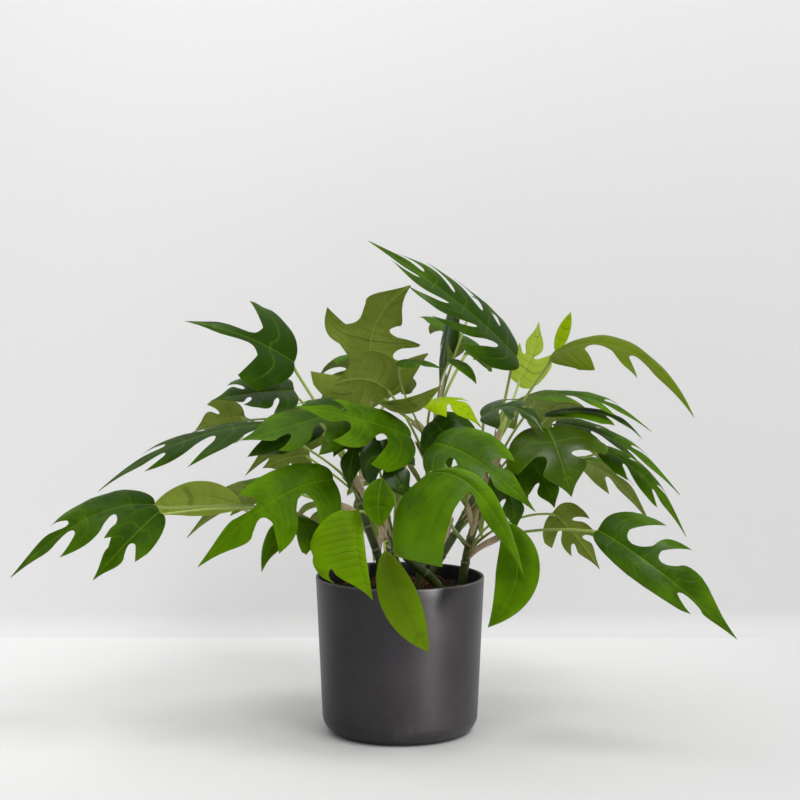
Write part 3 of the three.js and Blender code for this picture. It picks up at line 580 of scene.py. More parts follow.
addLeaf("left_behind", "left", 0.92, (-165, 340, 32), (-191, 335, 39), (-218, 324, 39), 30, 150, 2,
        slot="leaf_olive")
addLeaf("left_long", "left", 0.86, (-85, 329, -31), (-213, 318, -61), (-322, 258, -52), 48, 64, 4, fold=4,
        rightShare=0.75, deep=0.2, gap=0.05, closing=0.2, tone=(0.12, 0, 0.3))
addLeaf("left_front", "left", 0.78, (-58, 348, -58), (-112, 329, -81), (-170, 313, -98), 46, 50, 3,
        rightWhole=[2], gap=0.06, closing=0.8, tone=(0.5, 0, 0.2))
addLeaf("middle_left", "left", 0.6, (12, 316, -75), (-44, 336, -112), (-112, 350, -130), 50, 45, 3,
        leftShare=1.1, rightShare=0.6, rightWhole=[1], deep=0.16, gap=0.07, tone=(0.5,))
addLeaf("middle_right", "right", 0.62, (36, 310, -114), (84, 290, -146), (145, 236, -151), 46, 28, 3,
        leftWhole=[1], deep=0.18, gap=0.06, closing=0.6, tone=(0.55, 0, 0.2))
addLeaf("front_middle", "right", 0.5, (30, 278, -179), (84, 256, -195), (133, 165, -188), 84, 10, 2,
        steady=1, leftShare=0.2, right=[1.3, 0.42], leftWhole=[1], deep=0.1, gap=0.06, closing=-0.2,
        blunt=3.2, sweep=0.7, rise=-0.2, hook=30, tone=(0.7, 0, 0.2))
addLeaf("front_right", "right", 0.4, (112, 225, -120), (125, 168, -136), (94, 111, -133), 28, 8, 1,
        blunt=5.5, tone=(0.55,))
addLeaf("right_inner", "right", 0.55, (107, 280, -55), (119, 249, -68), (123, 215, -73), 25, 20, 2,
        tone=(0.25, 0, 0.3))
addLeaf("front_left", "front", 0.95, (-44, 238, -140), (-46, 190, -159), (-29, 141, -159), 46, 10, 3,
        steady=1, leftShare=0.25, rightShare=1, right=[1, 1.35, 1], leftWhole=[1, 2], deep=0.76, gap=0.03,
        closing=0, sweep=0.45, tone=(0.85, 0.12))
addLeaf("low_left_behind", "low_left", 0.8, (-80, 217, -81), (-123, 217, -104), (-148, 171, -110), 34, 35, 2,
        rightShare=0.5, rightWhole=[1], deep=0.14, gap=0.12, closing=-0.1, tone=(0.55,))
addLeaf("over_pot", "front", 0.9, (-16, 195, -135), (2, 136, -151), (32, 84, -146), 25, 5, 1,
        tone=(0.85, 0.06, 0.1, 0.3, 0.6))
addLeaf("front_small", "front", 1.0, (-19, 273, -151), (-23, 246, -159), (-21, 220, -156), 20, 0, 1,
        tone=(0.55,))
addLeaf("low_left", "low_left", 0.9, (-71, 271, -86), (-139, 246, -125), (-217, 176, -135), 64, 18, 3,
        rightShare=0.5, rightWhole=[1], deep=0.16, gap=0.07, closing=0.1, sweep=0.2, tone=(0.65,))
addLeaf("far_left", "low_left", 1.0, (-261, 244, -46), (-336, 228, -72), (-417, 165, -65), 48, 45, 3,
        rightShare=0.8, rightWhole=[1], deep=0.16, gap=0.06, tone=(0.45, 0, 0.2))
addLeaf("far_left_front", "low_left", 0.95, (-258, 236, -110), (-294, 201, -146), (-329, 162, -153), 26,
        20, 2,
        deep=0.16, gap=0.08)
addLeaf("far_left_behind", "low_left", 0.85, (-169, 240, 20), (-216, 252, 21), (-272, 232, 18), 27, 155, 1,
        tone=(1.3, 0.4), slot="leaf_olive")
addLeaf("left_inner", "left", 0.7, (-96, 297, 46), (-120, 294, 58), (-147, 283, 62), 28, 160, 2,
        slot="leaf_olive")
addLeaf("middle_lime", "centre", 0.7, (32, 356, -46), (58, 351, -68), (87, 326, -75), 28, 60, 2,
        tone=(0.8, 0.7), slot="leaf_young")
addLeaf("middle_glossy", "right", 0.9, (86, 338, -70), (122, 348, -84), (152, 322, -100), 32, 60, 3,
        tone=(0.0, 0, 0.9))
addLeaf("right_star", "right", 0.75, (157, 326, -78), (170, 295, -107), (183, 252, -112), 62, 20, 2,
        rightShare=0.9, deep=0.2, gap=0.08, closing=0.3, blunt=3.6, apex=0.95, tone=(0.3, 0, 0.5, 0.12))
addLeaf("right_star_behind", "right", 0.62, (138, 292, -52), (155, 267, -68), (165, 240, -73), 26, 20, 2,
        slot="leaf_olive")
addLeaf("right_fan_a", "right", 0.96, (143, 359, -34), (204, 357, -55), (268, 322, -62), 34, 76, 3, hang=28,
        leftWhole=[1], deep=0.2)
addLeaf("right_fan_b", "right", 0.86, (154, 340, -39), (213, 342, -57), (258, 314, -62), 32, 76, 3,
        rightWhole=[1])
addLeaf("right_fan_c", "right", 0.8, (165, 331, -13), (231, 312, -32), (299, 254, -39), 32, 70, 3, hang=25)
addLeaf("right_fan_d", "back_right", 0.75, (213, 303, 6), (261, 273, -10), (306, 209, -16), 26, 58, 3)
addLeaf("upper_right", "back_right", 0.95, (159, 403, 29), (239, 410, 8), (313, 337, -3), 46, 60, 3,
        leftShare=0.55, right=[0.85, 1, 1], leftWhole=[1, 2], deep=0.14, gap=0.1, closing=-0.1,
        tone=(0.45, 0, 0.1, 0.6))
addLeaf("upper_right_young", "back_right", 1.0, (165, 407, 81), (173, 428, 86), (181, 450, 88), 9, 0, 1,
        tone=(0.7, 0.6), slot="leaf_young")
addLeaf("upper_right_lime", "right", 0.98, (124, 374, 65), (140, 405, 75), (147, 440, 83), 26, 150, 2,
        tone=(0.8, 0.9), slot="leaf_young")
addLeaf("top_behind", "centre", 1.0, (58, 462, 91), (48, 415, 101), (42, 365, 99), 25, 70, 2, hook=60,
        tone=(0.0, 0, 0.5))
addLeaf("top_small", "centre", 0.93, (50, 399, -6), (66, 393, -18), (81, 373, -29), 14, 60, 1)
addLeaf("middle_flat", "centre", 0.8, (-3, 396, -10), (20, 396, -18), (48, 388, -23), 18, 70, 2)
addLeaf("middle_crescent", "centre", 0.6, (-30, 357, -58), (5, 352, -81), (45, 372, -86), 21, 120, 1,
        slot="leaf_olive")
addLeaf("middle_olive", "centre", 0.75, (-10, 364, 18), (-37, 378, 16), (-72, 372, 13), 38, 165, 2,
        slot="leaf_olive")
addLeaf("centre_behind", "centre", 0.65, (34, 334, -34), (60, 304, -49), (84, 258, -57), 31, 15, 3,
        tone=(0.15, 0, 0.3))
addLeaf("centre_left", "left", 0.62, (-36, 326, -60), (-50, 298, -75), (-54, 258, -83), 24, 10, 2,
        tone=(0.15, 0, 0.3))
addLeaf("front_glossy", "left", 0.5, (-21, 313, -81), (-9, 283, -104), (12, 247, -109), 32, 15, 2,
        tone=(0.0, 0, 1.0))
addLeaf("far_right", "right", 0.42, (211, 217, -110), (283, 168, -146), (362, 98, -140), 46, 15, 4,
        rightShare=0.6, leftWhole=[3], rightWhole=[1, 2], deep=0.16, gap=0.085, closing=0.75, blunt=4,
        apex=1, sweep=0.2, tone=(0.42, 0, 0.3))
addLeaf("far_right_behind", "right", 0.46, (163, 236, 13), (187, 211, 10), (214, 174, 6), 30, 155, 3,
        slot="leaf_olive")
addLeaf("back_a", "back_left", 0.8, (-40, 330, 150), (-95, 332, 195), (-165, 275, 214), 60, 130, 3)
addLeaf("back_b", "back_left", 1.0, (0, 385, 150), (-40, 390, 202), (-92, 338, 240), 60, 130, 3)
addLeaf("back_c", "back_right", 0.85, (112, 345, 162), (160, 345, 202), (220, 285, 221), 60, 130, 3)
addLeaf("back_d", "back_left", 0.4, (-10, 265, 156), (-20, 250, 214), (-28, 180, 244), 48, 170, 3)
addLeaf("back_e", "back_left", 0.65, (-110, 262, 114), (-165, 258, 138), (-228, 208, 146), 46, 120, 3)
addLeaf("back_f", "back_right", 0.6, (165, 285, 124), (215, 282, 146), (268, 222, 153), 46, 115, 3)
addLeaf("back_g", "centre", 0.97, (72, 405, 130), (62, 425, 195), (45, 385, 260), 52, 160, 3)
addLeaf("back_h", "back_right", 0.5, (62, 285, 162), (75, 272, 218), (88, 205, 247), 44, 175, 2)
addLeaf("back_i", "back_left", 0.5, (-62, 240, 136), (-78, 235, 182), (-90, 190, 205), 36, 160, 2)


def margin(s):
    # Half of a leaf's outline from base notch to tip: two cubic blends, narrowed to a drip tip at the end.
    along = 3 * s * (1 - s) * (outline["notch"] * (1 - s) + outline["shoulder"] * s) + s ** 3
    out = 3 * s * (1 - s) * (outline["flare"] * (1 - s) + outline["belly"] * s)
    return along, out * (1 - outline["narrowed"] * smoothstep(outline["tipFrom"], outline["tipTo"], along))


def vein(m, r):
    # A side vein is a quadratic curve from the midrib at m, bending forward, to the margin at r = 1.
    first = outline["veinFrom"]
    along, out = margin(first + (1 - first) * np.clip(m, 0, 1) ** outline["veinPower"])
    bend = m + outline["veinBend"] * (along - m)
    return bezier(r, m, bend, along), bezier(r, 0, outline["veinOut"] * out, out)


def midribOf(leaf):
    base, middle, tip = sighted(leaf["midrib"])
    chord = unit(tip - base)
    eye = unit(np.array([0, -sighting["distance"], sighting["height"]]) - middle)
    facing = unit(eye - chord * (eye @ chord))
    rising = np.cross(chord, facing)
    return {"curve": (base, 2 * middle - (base + tip) / 2, tip), "chord": chord, "facing": facing,
            "rising": rising if rising[2] >= 0 else -rising}


def midribFrame(leaf, rib, u):
    # Quadratic curve through the leaf's three points, with the upper face's normal turned by its roll.
    u = np.asarray(u, float)[..., None]
    base, control, tip = rib["curve"]
    along = unit(bezier(u, control - base, tip - control))
    roll = np.radians(leaf["roll"])
    normal = np.cos(roll) * rib["facing"] + np.sin(roll) * rib["rising"]
    normal = unit(normal - along * (normal * along).sum(-1, keepdims=True))
    right = unit(np.cross(along + (rib["chord"] - along) * leaf["steady"], normal))
    return bezier(u, *rib["curve"]), along, normal, right


def bladePoint(leaf, rib, u, side, out, lift):
    # Each half rises from the midrib by the fold, then follows a circle down by the hang.
    place, _, normal, right = midribFrame(leaf, rib, u)
    fold = np.radians(leaf["fold"])
    bend = np.radians(leaf["hang"]) / leaf["width"]
    across = (np.sin(fold) - np.sin(fold - bend * out)) / bend
    rise = (np.cos(fold - bend * out) - np.cos(fold)) / bend
    return place + right * (side * across)[..., None] + normal * (rise + lift)[..., None]


def wholeHalf(m, x):
    # A half without cuts: u = m + lean x m (1 - m) and
    # out = breadth x (m / p)^(f p / (1 - p)) ((1 - m) / (1 - p))^f.
    p, f = outline["peak"], outline["fullness"]
    swell = (m / p) ** (f * p / (1 - p)) * ((1 - m) / (1 - p)) ** f
    return m + outline["lean"] * x * m * (1 - m), outline["breadth"] * x * swell


def halfBlade(leaf, rib, side, columns):
    # One grid of points for each lobe of one half, and each point's (lobe + a, side * r, u). A cut that
    # a half leaves whole joins two of its lobes.
    hand = "right" if side > 0 else "left"
    lobes, number, lengths = leaf["lobes"], leaf["number"], leaf[hand]
    draw = lambda k: hashed(number + 40 * side, k)
    cuts = [outline["cutsTo"] * k / (lobes - 0.2) + 0.02 * hashed(number, k) for k in range(1, lobes)]
    cuts = np.array([0, *cuts, 1])
    depth = [leaf["deep"] + (0.07 * draw(k + 11) if 0 < k < lobes else 0) for k in range(lobes + 1)]
    gaps = [leaf["gap"] * (1 + 0.3 * draw(k + 21)) if 0 < k < lobes else 0 for k in range(lobes + 1)]
    made = [k for k in range(lobes + 1) if k not in leaf[hand + "Whole"]]
    # rows stand closer near the midrib, at the ends of the cuts and at the margin
    inwards = np.linspace(0, 1, skin["rowsIn"] + 1)[None] ** 1.7
    outwards = np.linspace(0, 1, skin["rowsOut"] + 1)[None, 1:]
    outwards = np.where(outwards < 0.5, 2 * outwards ** 2, outwards) * 0.35 + 0.65 * outwards ** 1.15
    x = np.concatenate([np.zeros_like(inwards), outwards], 1)
    grids = []
    for k, after in zip(made[:-1], made[1:]):
        steps = np.arange((after - k) * columns + 1)
        lobe = np.minimum(k + steps // columns, after - 1)
        stand = cuts[lobe] + (cuts[lobe + 1] - cuts[lobe]) * (steps / columns - (lobe - k))
        if k == 0 and after == lobes:
            r = x = np.concatenate([inwards * 0.3, 0.3 + 0.7 * outwards], 1)
            u, out = wholeHalf(stand[:, None], r)
            r = r + 0 * u
        else:
            a = ((stand - cuts[k]) / (cuts[after] - cuts[k]))[:, None]
            inner = depth[k] * (1 - a) + depth[after] * a
            reach = lengths[k] if k < len(lengths) else 1 + 0.08 * draw(k + 31)
            r = np.concatenate([inner * inwards, inner + (reach - inner) * outwards], 1)
            opened = np.sqrt(np.minimum(1, 4 * x)) * (1 - leaf["closing"] * x)
            first, last = cuts[k] + gaps[k] * opened, cuts[after] - gaps[after] * opened
            apex = 1 if after == lobes else leaf["apex"]
            straight = first + (last - first) * (apex + (a - apex) * (1 - x ** leaf["blunt"]) ** 1.3)
            lean = leaf["sweep"] * (a if k == 0 else 1)
            u, out = vein(straight + lean * x * (straight + 0.3) * (1 - straight), r)
        wave = leaf["wave"] * np.sin(9 * u + 5 * draw(7)) * out ** 2
        ripple = leaf["ripple"] * np.sin(29 * u + 7 * draw(9) + 2 * r) * out ** 2
        curl = (0.09 * draw(k + 41) - leaf["curl"]) * x * x * out
        out = out * (leaf["width"] * leaf[hand + "Share"])
        place = bladePoint(leaf, rib, u, side, out, leaf["width"] * (wave + ripple + curl))
        grids.append((place, np.stack([(k + steps / columns)[:, None] + 0 * r, side * r, u], -1), out))
    return grids


def bladeSheet(leaf, rib):
    # The lobes' grids joined where they share points, as one sheet of faces whose normals show the
    # upper side, with each point's marks and its distance from the midrib.
    columns = skin["columns"].get(leaf["lobes"], skin["manyColumns"])
    points, marks, outs, quads, count = [], [], [], [], 0
    for side in (-1, 1):
        for place, mark, out in halfBlade(leaf, rib, side, columns):
            faces = gridFaces(*place.shape[:2])
            quads.append((faces if side > 0 else faces[:, ::-1]) + count)
            count += out.size
            points.append(place.reshape(-1, 3))
            marks.append(mark.reshape(-1, 3))
            outs.append(out.ravel())
    points, marks, outs, quads = (np.concatenate(each) for each in (points, marks, outs, quads))
    keys = np.round(points * 200).astype(np.int64)
    _, firsts, same = np.unique(keys, axis=0, return_index=True, return_inverse=True)
    quads = same.ravel()[quads]
    # a quad that lost a corner is a triangle, and one that lost two is none
    lost = (quads == np.roll(quads, -1, 1)).sum(1)
    three = quads[lost == 1]
    tris = three[three != np.roll(three, -1, 1)].reshape(-1, 3)
    return points[firsts], marks[firsts], outs[firsts], quads[lost == 0], tris


def makeLeaf(name, leaf):
    # The sheet as a blade with two skins, thinner towards its margin, with a groove above the midrib
    # and a rib below it.
    points, marks, toRib, quads, tris = bladeSheet(leaf, midribOf(leaf))
    total = len(points)
    normals = np.zeros_like(points)
    for corners in (quads[:, [0, 1, 2]], quads[:, [0, 2, 3]], tris):
        first, second, third = (points[corners[:, c]] for c in range(3))
        for c in range(3):
            np.add.at(normals, corners[:, c], np.cross(second - first, third - first))
    normals = unit(normals)
    free = freeSides((quads, tris), total)
    rim = points[np.unique(free)]
    rim = rim[:: max(1, len(rim) // 400)]
    toEdge = np.sqrt(((points[:, None] - rim[None]) ** 2).sum(-1)).min(1)
    half = 0.5 * (skin["thin"] + (skin["thickness"] - skin["thin"]) * smoothstep(0, 3, toEdge))
    near = np.exp(-(toRib / skin["ribWidth"]) ** 2) * np.clip(1.15 - marks[:, 2], 0, 1)
    upper = points + normals * (half - skin["groove"] * near)[:, None]
    lower = points - normals * (half + skin["rib"] * near)[:, None]
    walls = np.stack([free[:, 0], free[:, 0] + total, free[:, 1] + total, free[:, 1]], -1)
    piece = makeMesh(
        name, np.concatenate([upper, lower]), np.concatenate([quads, quads[:, ::-1] + total, walls]),
        np.concatenate([tris, tris[:, ::-1] + total]), sharp=np.concatenate([free, free + total]),
        vein=np.tile(marks, (2, 1)), toEdge=np.tile(np.minimum(toEdge, 12), 2),
        toRib=np.tile(np.minimum(toRib, 30), 2),
        **{key: np.full(2 * total, value) for key, value in leafTone(leaf).items()})
    skins = np.repeat([0, 1, 0, 1], [len(quads), len(quads) + len(walls), len(tris), len(tris)])
    piece.data.polygons.foreach_set("material_index", skins.astype(np.int32))
    piece.data.materials.append(bpy.data.materials["leaf_upper"])
    piece.data.materials.append(bpy.data.materials["leaf_under"])
    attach(piece, "root")
    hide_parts(name)
    return len(piece.data.polygons)


stem = {
    "depth": 30,  # how far a cane goes down into the soil, mm
    "radius": 5.0, "taper": 0.22, "sides": 20, "node": 27, "ringSwell": 0.55,
    "petiole": 1.55, "petioleFoot": 2.7, "knee": 2.1, "petioleSides": 12, "squash": 0.92,
    "arrival": 38, "rib": 0.8, "solidBlade": 0.8, "gap": 0.3, "reach": 1.6,  # where the solid's petiole ends
    "lift": 0.55, "into": 5.0,  # and how the finer one goes on into the midrib
    "cane": (66, 84, 22), "caneDark": (38, 52, 12), "scar": (128, 124, 80), "brown": (96, 74, 40),
    "green": (120, 144, 52), "pale": (162, 180, 84), "streak": (106, 128, 52), "fleck": (188, 190, 130),
}
sheath = {
    "from": 60, "share": 0.42, "length": 46, "vary": 16,  # on petioles longer than this, mm
    "rows": 22, "columns": 13, "thickness": 0.22, "foot": 150, "top": 55,  # half-angles in degrees
    "pale": (204, 182, 156), "dark": (150, 118, 92), "tip": (112, 78, 52), "fresh": (172, 176, 108),
}
root = {
    "count": 46, "sides": 8, "reach": 12, "vary": 9, "within": 80,
    "pale": (134, 84, 46), "dark": (92, 58, 34), "fleck": (190, 134, 76),
}


def caneCurve(points, count=400):
    # A centripetal Catmull-Rom curve through the points and a foot down in the soil: its place at even
    # steps of length. Each span is the cubic with slopes weighted by the roots of its neighbours' lengths.
    places = sighted(points)
    foot = places[0] * [1, 1, 0] + [0, 0, soil["level"] - stem["depth"]]
    p = np.concatenate([[2 * foot - places[0], foot], places, [2 * places[-1] - places[-2]]])
    gap = np.sqrt(np.linalg.norm(np.diff(p, axis=0), axis=1))[:, None]
    p0, p1, p2, p3 = p[:-3], p[1:-2], p[2:-1], p[3:]
    g0, g1, g2 = gap[:-2], gap[1:-1], gap[2:]
    s1 = ((p1 - p0) / g0 - (p2 - p0) / (g0 + g1) + (p2 - p1) / g1) * g1
    s2 = ((p2 - p1) / g1 - (p3 - p1) / (g1 + g2) + (p3 - p2) / g2) * g1
    curve = bezier(np.linspace(0, 1, 60)[:, None, None], p1, p1 + s1 / 3, p2 - s2 / 3, p2).transpose(1, 0, 2)
    curve = np.concatenate([curve[0], *[each[1:] for each in curve[1:]]])
    run = runAlong(curve)
    return pathAt(curve, np.linspace(0, run[-1], count)), run[-1]


def runAlong(path):
    return np.concatenate([[0], np.cumsum(np.linalg.norm(np.diff(path, axis=0), axis=1))])


def pathAt(path, run):
    # The places that lie the given lengths along a path.
    return np.stack([np.interp(run, runAlong(path), path[:, k]) for k in range(3)], -1)


def petioleCurve(leaf, cane, count=44):
    # A cubic curve that leaves the cane upwards, arches over and meets the blade from below, eased up so
    # that it ends in the midrib. Gives its direction across and its span too.
    place, along, normal, _ = midribFrame(leaf, midribOf(leaf), 0.0)
    turn = np.radians(stem["arrival"])
    arrival = along * np.cos(turn) + normal * np.sin(turn)
    drop = stem["solidBlade"] / 2 + stem["rib"] + stem["gap"] + stem["reach"] * np.cos(turn)
    start, end = cane[int(round(leaf["at"] * (len(cane) - 1)))], place - normal * drop + along * stem["reach"]
    span = np.linalg.norm(end - start)
    leaving = unit(unit(end - start) + up * leaf["rise"])
    t = np.linspace(0, 1, count)[:, None]
    curve = bezier(t, start, start + leaving * span * 0.4, end - arrival * min(leaf["hook"], span * 0.4), end)
    goal = place - normal * stem["lift"] + along * stem["into"]
    return curve + smoothstep(0.55, 1, t) * (goal - end), unit(np.cross(end - start, up) + 1e-6), span


def stemMaterials():
    # stem: the share of the way along, mm along, and 0 for a cane or 1 for a petiole
    s = Shader("stem_skin")
    along, run, kind = s.parts(s.attribute("stem", "Vector"))
    own = s.attribute("tone")
    spot = s.place()
    cloud = s.noise(spot, 0.02, 4, 0.6)
    stretched = s.node("ShaderNodeCombineXYZ", {}, run * 0.02, own * 7, s.parts(spot)[0] * 400)
    streak = s.noise(stretched, 1.0, 4, 0.6)
    fine = s.noise(spot, 0.0012, 4, 0.7)
    cane = s.mix(cloud.ramp(0.3, 0.7), stem["caneDark"], stem["cane"])
    ring = abs((run * (1 / stem["node"]) + own).fract() - 0.5).ramp(0.03, 0.075, 1, 0)
    cane = s.mix(ring * 0.5, cane, stem["scar"])
    cane = s.mix(fine.ramp(0.62, 0.8) * 0.5, cane, stem["brown"])
    green = s.mix(along.ramp(0.0, 0.9), stem["green"], stem["pale"])
    green = s.mix(streak.ramp(0.5, 0.75) * 0.35, green, stem["streak"])
    green = s.mix((1 - along.ramp(0.0, 0.30)) * own.ramp(0.2, 0.8, 0.25, 0.8), green, stem["brown"])
    green = s.mix(fine.ramp(0.66, 0.8) * 0.35, green, stem["fleck"])
    s.done(s.principled(s.mix(kind, cane, green), 0.40 + cloud * 0.15, 0.45,
                        (streak * 0.5 + fine * 0.4 + ring * 0.8, 0.0005, 0.5)))

    s = Shader("dry_sheath")
    along, run, own = s.parts(s.attribute("stem", "Vector"))
    fibre = s.noise(s.place((1, 1, 0.12)), 0.0016, 6, 0.7)
    tone = s.mix(fibre.ramp(0.25, 0.6), sheath["dark"], sheath["pale"])
    tone = s.mix(along.ramp(0.7, 1.0) * 0.5, tone, sheath["tip"])
    tone = s.mix(own * 0.5, tone, sheath["fresh"])
    s.done(s.principled(tone, 0.62 + fibre * 0.2, 0.35, (fibre, 0.0007, 0.8)))

    s = Shader("aerial_root")
    fine = s.noise(s.place(), 0.0014, 5, 0.7)
    tone = s.mix(s.attribute("tone"), root["pale"], root["dark"])
    tone = s.mix(fine.ramp(0.45, 0.75) * 0.5, tone, root["fleck"])
    s.done(s.principled(tone, 0.75 + fine * 0.15, 0.3, (fine, 0.0006, 0.8)))


def sheathSurface(path, foot, length, hint, number):
    # A thin half-open sleeve round the lower part of a petiole: an arc that opens wider and frays upwards,
    # given two skins and closed along its edge. Its marks are the share and mm along, and its own number.
    rows, columns = sheath["rows"], sheath["columns"]
    t, spread = np.linspace(0, 1, rows), np.linspace(-1, 1, columns)
    spine = pathAt(path, t * length)
    tangent, first, second = crossFrame(spine, hint)
    half = np.radians(sheath["foot"] - (sheath["foot"] - sheath["top"]) * t ** 1.5)
    fray = 0.10 * hashed(number, 50 + np.arange(columns)) * t[:, None] ** 3
    angle = (half[:, None] * spread + 0.5 * hashed(number, 49))[..., None]
    radius = (foot + 0.35 + 1.1 * t ** 2)[:, None] * (1 + 0.05 * np.sin(9 * t[:, None] + 4 * spread + number))
    spokes = np.cos(angle) * first[:, None] + np.sin(angle) * second[:, None]
    rise = (fray.mean(1)[:, None] + fray * length * 0.5)[..., None] * tangent[:, None]
    inner, outer = (spine[:, None] + (radius + thick)[..., None] * spokes + rise
                    for thick in (0, sheath["thickness"]))
    count, faces = rows * columns, gridFaces(rows, columns)
    free = freeSides([faces], count)
    walls = np.stack([free[:, 1], free[:, 0], free[:, 0] + count, free[:, 1] + count], -1)
    points = np.concatenate([inner.reshape(-1, 3), outer.reshape(-1, 3)])
    marks = np.stack([t, t * length, np.full(rows, hashedShare(number, 48))], -1)
    surface = points, np.concatenate([faces[:, ::-1] + count, faces, walls]), np.zeros((0, 3), int)
    return surface, np.tile(np.repeat(marks, columns, axis=0), (2, 1))


def tubeMarks(share, run, kind, sides):
    # The stem attribute for each point of a tube.
    rows = np.stack([share, run, np.full(len(run), kind)], -1)
    return np.concatenate([np.repeat(rows, sides, axis=0), rows[[0, -1]]])


def caneTube(curve, length, own):
    # Swollen rings with a dent beside them at the nodes, a slow taper, and a rounded end.
    run = np.linspace(0, length, len(curve))
    phase = (run / stem["node"] + own) % 1 - 0.5
    radius = stem["radius"] * (1.02 - stem["taper"] * run / length)
    radius += stem["ringSwell"] * np.exp(-(phase / 0.06) ** 2) - 0.25 * np.exp(-((phase - 0.1) / 0.05) ** 2)
    radius *= np.sqrt(np.clip(1 - smoothstep(-1, 1, (run - length + 4) / 4) * 0.999, 0.03, 1))
    return (tubeSurface(curve, radius, stem["sides"], np.array([0.25, 1.0, 0.05])),
            tubeMarks(run / length, run, 0, stem["sides"]))


def petioleTube(leaf, path, across, span):
    # Thicker at its foot and in a knee below the blade, and thin where it goes into the midrib.
    t = np.linspace(0, 1, len(path))
    thick = stem["petiole"] + (stem["petioleFoot"] - stem["petiole"]) * (1 - smoothstep(0.0, 0.3, t))
    thick *= np.interp(leaf["width"], [10, 34, 60], [0.62, 0.95, 1.15])
    thick += (stem["knee"] - stem["petiole"]) * np.exp(-((t - 0.94) / 0.035) ** 2)
    thick *= 1 - 0.75 * smoothstep(0.955, 1, t)
    tube = tubeSurface(path, thick, stem["petioleSides"], across, stem["squash"])
    return tube, tubeMarks(t, t * span, 1, stem["petioleSides"]), thick[0]


def makeCane(name, points, index):
    # One mesh for a cane and the petioles grown from it, and one for their sheaths.
    curve, length = caneCurve(points)
    tube, marks = caneTube(curve, length, hashedShare(index, 60))
    grown, sheaths = [(tube, marks, np.full(len(marks), hashedShare(index, 60)))], []
    for leaf in (leaf for leaf in leaves.values() if leaf["cane"] == name):
        number = leaf["number"]
        path, across, span = petioleCurve(leaf, curve)
        tube, marks, foot = petioleTube(leaf, path, across, span)
        grown.append((tube, marks, np.full(len(marks), hashedShare(number, 61))))
        if span > sheath["from"] and hashed(number, 62) > -0.55:
            length = min(sheath["share"] * span, sheath["length"] + sheath["vary"] * hashed(number, 63))
            across = across * np.sign(hashed(number, 64))
            sheaths.append(sheathSurface(path, foot - 0.2, length, across, number))
    parts, marks, tones = zip(*grown)
    piece = makeMesh(name + "_grown", *joined(parts), stem=np.concatenate(marks), tone=np.concatenate(tones))
    piece.data.materials.append(bpy.data.materials["stem_skin"])
    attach(piece, "root")
    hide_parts(name)
    if sheaths:
        parts, marks = zip(*sheaths)
        piece = makeMesh(name + "_sheaths", *joined(parts), stem=np.concatenate(marks))
        piece.data.materials.append(bpy.data.materials["dry_sheath"])
        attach(piece, "root")
    return curve


def rootSurface(k, curves):
    # A thin tube that leaves a cane's lower part, droops, wanders and runs into the soil.
    which = k % len(curves)
    low = 0.6 if which in (0, 5, 6) else 0.5
    start = curves[which][int((0.30 + 0.32 * hashedShare(k, 70)) * len(curves[which]) * low)]
    reach = root["reach"] + root["vary"] * hashed(k, 72)
    away = np.array([*spun(1, 0, hashed(k, 71) * np.pi), 0])
    goal = start * [1, 1, 0] + away * reach
    goal = goal * min(1, root["within"] / max(np.hypot(goal[0], goal[1]), 1))
    goal[2] = soilHeight(goal[0], goal[1]) - 1.5
    start = np.array([start[0], start[1], max(start[2], goal[2] + 5)])
    middle = (start + goal) / 2 + away * 0.35 * reach + up * (2 + 3 * hashed(k, 73))
    t = np.linspace(0, 1, 26)[:, None]
    wander = (np.sin(t * 17 + k) * 0.8 + np.sin(t * 31 + 2 * k) * 0.35) * np.cross(away, up)
    thick = (0.75 + 0.3 * hashed(k, 74)) * (1 - 0.55 * t[:, 0])
    return tubeSurface(bezier(t, start, middle, goal) + wander, thick, root["sides"], up + 0.3 * away)


def makeRoots(curves):
    parts = [rootSurface(k, curves) for k in range(root["count"])]
    tone = np.repeat(hashedShare(np.arange(root["count"]), 75), len(parts[0][0]))
    piece = makeMesh("aerial_roots", *joined(parts), tone=tone)
    piece.data.materials.append(bpy.data.materials["aerial_root"])
    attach(piece, "root")


stemMaterials()
makeRoots([makeCane(name, points, index) for index, (name, points) in enumerate(canes.items())])
print("stems done")


leafColours = {
    "deep": (38, 66, 0), "fresh": (108, 156, 0), "lime": (178, 206, 4), "olive": (116, 128, 24),
    "vein": (134, 170, 14), "gap": (30, 62, 0), "edge": (132, 154, 20), "rust": (116, 76, 38),
    "underDeep": (100, 120, 26), "underPale": (158, 172, 72), "underVein": (92, 112, 28),
    "underRib": (174, 186, 92), "underLime": (178, 200, 60),
    "glow": (150, 195, 0), "through": 0.2,
}


def leafTone(leaf):
    # The attributes of a whole leaf, each 0-1.
    fresh, lime, gloss, olive, rust = (*leaf["tone"], 0, 0, 0, 0)[:5]
    return {"fresh": fresh + 0.08 * hashed(leaf["number"], 3), "lime": lime, "gloss": gloss, "olive": olive,
            "rust": rust}


